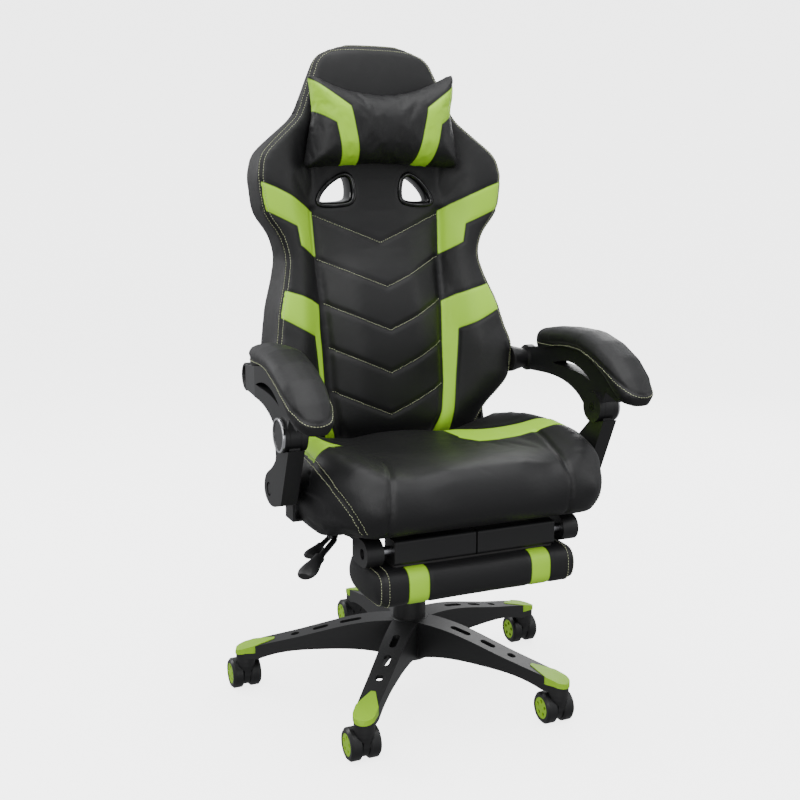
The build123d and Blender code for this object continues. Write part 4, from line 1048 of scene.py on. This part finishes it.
def eye_rim(side):
    """A closed line round one eye, on the front of the back, just outside its liner."""
    outline = eye_outline(side, 0.006)
    spots = [back_skin.find_nearest(Vector((x, back_low[1] + 0.1, z)))[0] for x, z in outline]
    return np.array(spots)


eye_rims = [eye_rim(side) for side in (-1, 1)]
borders = stripe_edges(UPPER_STRIPE, 1, 6) + stripe_edges(UPPER_STRIPE, 8, 12)
borders += stripe_edges(LOWER_STRIPE, 1, 5) + stripe_edges(LOWER_STRIPE, 8, 13)
print("back seams:", 2 + len(valleys) + len(chevrons) + len(borders))

# %% [markdown]
# The cloth step fills the panels, then the seams are pressed in.  Beside the pivots of the arms
# the wings swell a little, over the hard bosses inside.  Lime stays on the front: the mark is cut
# off where the surface turns away to the rear.

# %% Pad, press and stitch the back
BOSS_SIDE, BOSS_DEPTH, BOSS_HEIGHTS = 0.228, 0.02, (0.598, 0.617, 0.636)
BOSS_SWELL, BOSS_REACH = 0.009, 0.032
LIME_TURN, LIME_FADE = -0.3, 0.02
puffed(back, [front_seam, rear_seam] + eye_rims + valleys + chevrons + borders, 0.006)
finer(back)
bosses = []
for side in (-1, 1):
    line = evenly([(side * BOSS_SIDE, BOSS_DEPTH, z) for z in BOSS_HEIGHTS])
    bosses.append(laid_on(back_skin, line)[0])
pinch(back, bosses, -BOSS_SWELL, BOSS_REACH)
pinch(back, valleys, 0.006, 0.009)
pinch(back, chevrons, 0.003, 0.006)
pinch(back, borders, 0.0016, 0.004)
pinch(back, [front_seam, rear_seam], 0.002, 0.004)
for valley in valleys:
    gather(back, valley, 0.0006, 0.016, 0.024)
faces_front = -normals_of(back)[:, 1]
lime = np.minimum(back_lime(points_of(back)), LIME_FADE * (faces_front - LIME_TURN))
dressed(back, "back", lime, [front_seam, rear_seam] + valleys)
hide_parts("back_cushion", "back_shell")
back_skin = surface_of(back)
rows = both_sides(back_skin, front_seam, 0.0045) + [laid_on(back_skin, c)[0] for c in chevrons]
stitches("back_stitching", back_skin, rows, "back")

# %% [markdown]
# Each eye has a glossy moulded liner.  Its section is a thin wall with a rolled lip that lies on
# the vinyl in front and behind.  The section is written once, as pairs of how far out of the
# outline and how far from the front or the rear, and is swept round the outline.

# %% Eye liners
LIP = (
    (0.0055, 0.0006), (0.0046, -0.0014), (0.0022, -0.0027), (-0.0010, -0.0022),
    (-0.0035, 0.0010), (-0.0050, 0.0060)
)
FOOT = (0.0, 0.0030)
LIP_PATH = 0.007


def liner_rings(side):
    """The liner's section, swept round one eye: the front lip, then the rear one."""
    around = eye_outline(side, LIP_PATH)
    rings = []
    for way, section in ((1, (FOOT,) + LIP), (-1, LIP[::-1] + (FOOT,))):
        face = np.array([reach(back_skin, (x, -way, z), (0, way, 0)) for x, z in around])
        for _ in range(6):
            face = (np.roll(face, 1) + face + np.roll(face, -1)) / 3
        for outward, depth in section:
            flat = eye_outline(side, outward)
            rings.append(np.column_stack([flat[:, 0], face + way * depth, flat[:, 1]]))
    return rings


points, faces = [], []
for side in (-1, 1):
    rings = liner_rings(side)
    sides, first = len(rings[0]), len(points)
    points += [tuple(p) for ring in rings for p in ring]
    for r in range(len(rings)):
        faces += wall(sides, first + r * sides, first + (r + 1) % len(rings) * sides)
liners = new_piece("eye_liners", points, faces)
liners.data.shade_smooth()
liners.data.materials.append(gloss_black)
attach(liners, "back")
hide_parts("eye_bezels")
print("eye liners:", len(points), "points")

# %% [markdown]
# ## The seat
#
# The seat's solid already has the bolsters and the rolled front edge.  It gets an even mesh, and
# then three soft changes that a solid can't show: the skirt sags a little over the brackets on
# either side, the crests of the thigh bolsters swell, and the seat hollows out beside them.

# %% Seat form
SKIRT_SAG, SKIRT_BULGE = 0.014, 0.004
SKIRT_FADE = 0.05
SKIRT_SIDE, SKIRT_TOP, SKIRT_FRONT, SKIRT_REAR = 0.226, 0.455, -0.275, 0.045
CREST = (
    (0.224, 0.050, 0.500), (0.238, -0.020, 0.515), (0.243, -0.090, 0.518), (0.243, -0.160, 0.518),
    (0.238, -0.220, 0.514), (0.225, -0.270, 0.508)
)
HOLLOW = ((0.095, 0.060, 0.490), (0.098, 0.000, 0.490), (0.100, -0.070, 0.490))


def ramp(values, start, run):
    """From 0 at a start value to 1 after a run; a negative run goes the other way."""
    return np.clip((values - start) / run, 0, 1)


seat = new_piece("seat_upholstery", *solid_mesh("seat_cushion"))
even_mesh(seat, 0.0055, 14)
form = points_of(seat)
beside = ramp(np.abs(form[:, 0]), SKIRT_SIDE, 0.018)
low = ramp(form[:, 2], SKIRT_TOP, -SKIRT_FADE)
along = ramp(form[:, 1], SKIRT_FRONT, SKIRT_FADE) * ramp(form[:, 1], SKIRT_REAR, -SKIRT_FADE)
form[:, 2] -= SKIRT_SAG * beside * low * along
form[:, 0] += np.sign(form[:, 0]) * SKIRT_BULGE * beside * low * along
move_points(seat, form)
seat_skin = surface_of(seat)
for path, depth, width in ((CREST, -0.009, 0.030), (HOLLOW, 0.007, 0.045)):
    lines = [laid_on(seat_skin, flowing(mirrored(path, side)))[0] for side in (1, -1)]
    pinch(seat, lines, depth, width)
print("seat:", len(form), "points before the cloth step")

# %% [markdown]
# The seat has a double-stitched seam where the side gusset meets the top, and one from each
# thigh bolster that runs forward and down over the front.  A lime band crosses each bolster.
# Cloth is never sewn twice alike, so the two sides have lines of their own.

# %% Seat seams
GUSSET = (
    (0.208, 0.072, 0.475), (0.230, 0.045, 0.486), (0.240, 0.000, 0.497), (0.244, -0.060, 0.504),
    (0.245, -0.120, 0.508), (0.247, -0.185, 0.503), (0.246, -0.235, 0.491), (0.241, -0.266, 0.475),
    (0.233, -0.291, 0.455), (0.222, -0.303, 0.432), (0.214, -0.301, 0.415)
)
GUSSET_SHIFTS = {1: (0.006, 0.0, -0.007), -1: (0.0, 0.0, 0.0)}
FRONT_SEAMS = (
    ((0.190, -0.136, 0.516), (0.184, -0.170, 0.517), (0.173, -0.210, 0.514),
     (0.160, -0.255, 0.511), (0.149, -0.304, 0.501), (0.150, -0.324, 0.470),
     (0.150, -0.322, 0.430), (0.150, -0.312, 0.406)),
    ((-0.128, -0.090, 0.500), (-0.130, -0.140, 0.500), (-0.138, -0.205, 0.504),
     (-0.153, -0.262, 0.508), (-0.166, -0.297, 0.502), (-0.176, -0.320, 0.470),
     (-0.179, -0.322, 0.430), (-0.178, -0.312, 0.406))
)
SEAT_PATCHES = {
    1: (
        (0.099, 0.066), (0.122, 0.066), (0.137, 0.037), (0.153, 0.000), (0.176, -0.038),
        (0.200, -0.074), (0.226, -0.108), (0.265, -0.138), (0.300, -0.160), (0.300, -0.205),
        (0.265, -0.192), (0.244, -0.180), (0.228, -0.169), (0.205, -0.150), (0.190, -0.138),
        (0.166, -0.120), (0.138, -0.094), (0.116, -0.058), (0.101, -0.005)
    ),
    -1: (
        (0.128, -0.010), (0.136, -0.012), (0.152, -0.016), (0.168, -0.022), (0.185, -0.032),
        (0.209, -0.052), (0.232, -0.084), (0.265, -0.102), (0.300, -0.110), (0.300, -0.190),
        (0.265, -0.180), (0.245, -0.173), (0.228, -0.171), (0.211, -0.158), (0.192, -0.118),
        (0.174, -0.068), (0.158, -0.036), (0.142, -0.018), (0.132, -0.011)
    ),
}
PATCH_EDGES = ((1, 8), (10, 19))
LIME_FLOOR = 0.46
seat_skin = surface_of(seat)
front_seams = [laid_on(seat_skin, flowing(seam))[0] for seam in FRONT_SEAMS]
gussets, patch_edges = [], []
for side in (1, -1):
    gusset = mirrored(np.array(GUSSET) + np.array(GUSSET_SHIFTS[side]), side)
    gussets.append(laid_on(seat_skin, flowing(gusset))[0])
    for first, last in PATCH_EDGES:
        edge = flowing([(side * x, y, 0.8) for x, y in SEAT_PATCHES[side][first:last]])
        patch_edges.append(cast(seat_skin, edge, (0, 0, -1)))


def one_side_of(points, seam, inward):
    """Distance from a seam, positive on the side that a direction points to."""
    gap, knot = distance_to(points, [seam])
    return gap * np.sign((points - knot) @ np.array(inward))


def seat_lime(points):
    """The lime bands over the thigh bolsters, cut off at the side gussets."""
    flat = np.column_stack([np.abs(points[:, 0]), points[:, 1]])
    lime = np.full(len(points), -np.inf)
    for side, gusset in zip((1, -1), gussets):
        over_gusset = one_side_of(points, gusset, (-0.8 * side, 0.0, 0.6))
        own = np.minimum(inside(flat, SEAT_PATCHES[side]), over_gusset)
        lime = np.where(points[:, 0] * side > 0, own, lime)
    return np.minimum(lime, points[:, 2] - LIME_FLOOR)


print("seat seams:", len(gussets + front_seams + patch_edges))

# %% [markdown]
# The cloth step fills the panels between these lines, the lines are pressed in, and small
# puckers run away from the two front seams.

# %% Pad, press and stitch the seat
puffed(seat, gussets + front_seams + patch_edges, 0.005)
finer(seat)
pinch(seat, gussets, 0.002, 0.004)
pinch(seat, front_seams, 0.0035, 0.0045)
pinch(seat, patch_edges, 0.0018, 0.004)
for seam in front_seams:
    gather(seat, seam, 0.0006, 0.02, 0.03)
seat_points = points_of(seat)
dressed(seat, "seat", seat_lime(seat_points), gussets + front_seams)
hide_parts("seat_cushion")
seat_skin = surface_of(seat)
rows = [row for seam in gussets for row in both_sides(seat_skin, seam, 0.0055)]
stitches("seat_stitching", seat_skin, rows, "seat")
print("seat:", len(seat_points), "points")

# %% [markdown]
# ## The head pillow and its strap
#
# A pillow is two sheets sewn together round the edge, so it has to come to a thin seam at its
# outline.  The solid is squeezed towards its middle plane by a quarter-circle law: nothing at
# the outline, full thickness some five centimetres in.

# %% Head pillow
PILLOW_SIDES = (
    ((-0.146, 1.152), (-0.070, 1.127), (0, 1.119), (0.070, 1.130), (0.146, 1.164)),
    ((0.146, 1.164), (0.144, 1.124), (0.140, 1.085), (0.148, 1.040), (0.157, 0.984)),
    ((0.157, 0.984), (0.070, 0.990), (0, 0.993), (-0.070, 0.990), (-0.157, 0.984)),
    ((-0.157, 0.984), (-0.148, 1.040), (-0.140, 1.085), (-0.143, 1.118), (-0.146, 1.152)),
)
PILLOW_BANDS = (
    ((0.200, 1.178), (0.145, 1.145), (0.076, 1.097), (0.062, 1.030), (0.050, 0.970), (0.085, 0.970),
     (0.092, 0.998), (0.106, 1.066), (0.136, 1.084), (0.200, 1.110))
)
BAND_EDGES = ((1, 5), (5, 9))
ROUNDING = 0.052
THINNEST = 0.004
SEAM_SHARE = 0.2
pillow_edge = [flowing([(x, 0, z) for x, z in line]) for line in PILLOW_SIDES]
pillow_outline = evenly(np.vstack(pillow_edge), 0.008)[:-1]
pillow_low, pillow_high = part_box("head_pillow")
seam_plane = pillow_high[1] - SEAM_SHARE * (pillow_high[1] - pillow_low[1])

pillow = stacked(
    "head_pillow_cover",
    [
        [(x, y, z) for x, _, z in pillow_outline]
        for y in np.linspace(pillow_high[1], pillow_low[1], 5)
    ],
)
even_mesh(pillow, 0.0045, 4)
form = points_of(pillow)
depth_in = inside(form[:, (0, 2)], pillow_outline[:, (0, 2)])
round_off = np.clip(depth_in / ROUNDING, 0.0, 1)
full = np.sqrt(np.clip(1 - (1 - round_off) ** 2, THINNEST, 1))
form[:, 1] = seam_plane + (form[:, 1] - seam_plane) * full
move_points(pillow, form)
even_mesh(pillow, 0.0045, 3)
pillow_skin = surface_of(pillow)
pillow_seam = [
    laid_on(pillow_skin, edge + np.array((0, seam_plane, 0)))[0] for edge in pillow_edge
]
band_edges = []
for side in (-1, 1):
    for first, last in BAND_EDGES:
        edge = evenly([(side * x, -0.2, z) for x, z in PILLOW_BANDS[first:last]])
        band_edges.append(cast(pillow_skin, edge, (0, 1, 0)))
puffed(pillow, pillow_seam + band_edges, 0.007, reach=0.008, slack=0.008)
finer(pillow)
for seam in pillow_seam:
    gather(pillow, seam, 0.0022, 0.020, 0.012)
pinch(pillow, band_edges, 0.0016, 0.004)
pinch(pillow, pillow_seam, 0.001, 0.003)
form = points_of(pillow)
band = inside(np.column_stack([np.abs(form[:, 0]), form[:, 2]]), PILLOW_BANDS)
dressed(pillow, "back", np.minimum(band, seam_plane - form[:, 1]), pillow_seam)
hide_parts("head_pillow")
print("pillow:", len(form), "points")

# %% [markdown]
# The pillow hangs on a flat elastic strap that goes round the back of the headrest.  Its line
# is found by sending rays inward all the way round, so it lies on the cover without cutting in.

# %% Strap
STRAP_THICKNESS = 0.0016
STRAP_ROWS = 6
STRAP_INSET = 0.002
STRAP_ENDS = math.radians(196), math.radians(-16)
strap_low, strap_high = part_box("pillow_strap")
middle_y = (strap_low[1] + strap_high[1]) / 2
strap_bottom, strap_top = strap_low[2] + STRAP_INSET, strap_high[2] - STRAP_INSET


def strap_row(z):
    """One line of the strap, from the left of the pillow round the rear to its right."""
    spots = []
    for turn in np.linspace(*STRAP_ENDS, 120):
        way = Vector((math.cos(turn), math.sin(turn), 0))
        start = Vector((0, middle_y, z)) + way * 0.5
        spot, up, _, _ = back_skin.ray_cast(start, -way)
        spots.append(spot + up * STRAP_THICKNESS / 2)
    return evenly(softened(np.array(spots), 4), 0.005)


rows = [strap_row(z) for z in np.linspace(strap_bottom, strap_top, STRAP_ROWS)]
count = min(len(row) for row in rows)
rows = [row[np.linspace(0, len(row) - 1, count).round().astype(int)] for row in rows]
faces = [
    (r * count + k, r * count + k + 1, (r + 1) * count + k + 1, (r + 1) * count + k)
    for r in range(STRAP_ROWS - 1)
    for k in range(count - 1)
]
strap = new_piece("pillow_strap_elastic", np.vstack(rows), faces)
thick = strap.modifiers.new("thick", "SOLIDIFY")
thick.thickness = STRAP_THICKNESS
thick.offset = 0.0
bake(strap)
strap.data.materials.append(elastic)
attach(strap, "back")
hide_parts("pillow_strap")

# %% [markdown]
# ## Arm pads and footrest pad
#
# The arm pads droop over the front of the arms, and a little at the rear too.  A closed seam
# runs round each pad, with one row of stitching just inside it.

# %% Arm pads
PAD_MIDDLE = 0.2935
PAD_SEAM = (
    (0.000, 0.004, 0.662), (0.014, -0.004, 0.662), (0.024, -0.060, 0.664), (0.031, -0.110, 0.668),
    (0.036, -0.160, 0.667), (0.037, -0.208, 0.658), (0.037, -0.252, 0.642), (0.035, -0.284, 0.627),
    (0.029, -0.304, 0.617), (0.019, -0.317, 0.609), (0.006, -0.3235, 0.6055)
)


def pad_seam(side):
    """The closed seam of one arm pad, from the rear end round the nose and back."""
    half = list(PAD_SEAM) + [(-x, y, z) for x, y, z in PAD_SEAM[::-1]]
    return flowing([(side * (PAD_MIDDLE + x), y, z) for x, y, z in half])


PAD_DROOP, DROOP_START, DROOP_RUN = 0.009, -0.075, 0.05
PAD_TOP, PAD_FADE = 0.668, 0.012
for side, arm in ((1, "left"), (-1, "right")):
    node = "arm_pad_" + arm
    pad = new_piece(node + "_cover", *solid_mesh(node))
    even_mesh(pad, 0.004, 6)
    form = points_of(pad)
    rear = ramp(form[:, 1], DROOP_START, DROOP_RUN) * ramp(form[:, 2], PAD_TOP, -PAD_FADE)
    form[:, 2] -= PAD_DROOP * rear
    move_points(pad, form)
    pad_skin = surface_of(pad)
    seam = laid_on(pad_skin, pad_seam(side))[0]
    puffed(pad, [seam], 0.003)
    finer(pad)
    pinch(pad, [seam], 0.002, 0.004)
    dressed(pad, "arm_" + arm, np.full(len(pad.data.vertices), -1.0), [seam])
    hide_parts(node)
    pad_skin = surface_of(pad)
    rows = [laid_on(pad_skin, seam, side * 0.0045)[0]]
    stitches(node + "_stitching", pad_skin, rows, "arm_" + arm)
print("arm pads done")

# %% [markdown]
# The footrest pad is a padded bar with a separate panel on either end, which swells a little, and
# two lime bands that go all the way round it.

# %% Footrest pad
BAND_FROM, BAND_TO = 0.095, 0.133
END_ROUND = 0.010
END_BULGE, END_DEPTH = 0.009, 0.012
rest_low, rest_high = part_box("footrest_pad")
footrest = new_piece("footrest_pad_cover", *solid_mesh("footrest_pad"))
even_mesh(footrest, 0.0045, 10)
rest_middle = (rest_low + rest_high) / 2
rest_half = (rest_high - rest_low) / 2
form = points_of(footrest)
off_y, off_z = ((form[:, k] - rest_middle[k]) / rest_half[k] for k in (1, 2))
off_axis = np.hypot(off_y, off_z)
at_end = ramp(np.abs(form[:, 0]), rest_half[0] - END_DEPTH, END_DEPTH)
form[:, 0] += np.sign(form[:, 0]) * END_BULGE * at_end * np.clip(1 - off_axis**2, 0, 1)
move_points(footrest, form)
rest_skin = surface_of(footrest)


def girth(x):
    """A closed line round the footrest pad at one place along it."""
    spots = []
    for turn in np.linspace(0, 2 * math.pi, 140):
        way = Vector((0, math.cos(turn), math.sin(turn)))
        start = Vector((x, rest_middle[1], rest_middle[2])) + way
        spots.append(rest_skin.ray_cast(start, -way)[0])
    return evenly(spots)


end_seams = [girth(side * (rest_high[0] - END_ROUND)) for side in (-1, 1)]
band_seams = [girth(side * x) for side in (-1, 1) for x in (BAND_FROM, BAND_TO)]
puffed(footrest, end_seams + band_seams, 0.004)
finer(footrest)
pinch(footrest, end_seams, 0.002, 0.004)
pinch(footrest, band_seams, 0.0014, 0.004)
along = np.abs(points_of(footrest)[:, 0])
dressed(footrest, "footrest_pad", np.minimum(along - BAND_FROM, BAND_TO - along), end_seams)
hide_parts("footrest_pad")
rest_skin = surface_of(footrest)
rows = [row for seam in end_seams for row in both_sides(rest_skin, seam, 0.0065)]
stitches("footrest_stitching", rest_skin, rows, "footrest_pad")
print("footrest pad done")
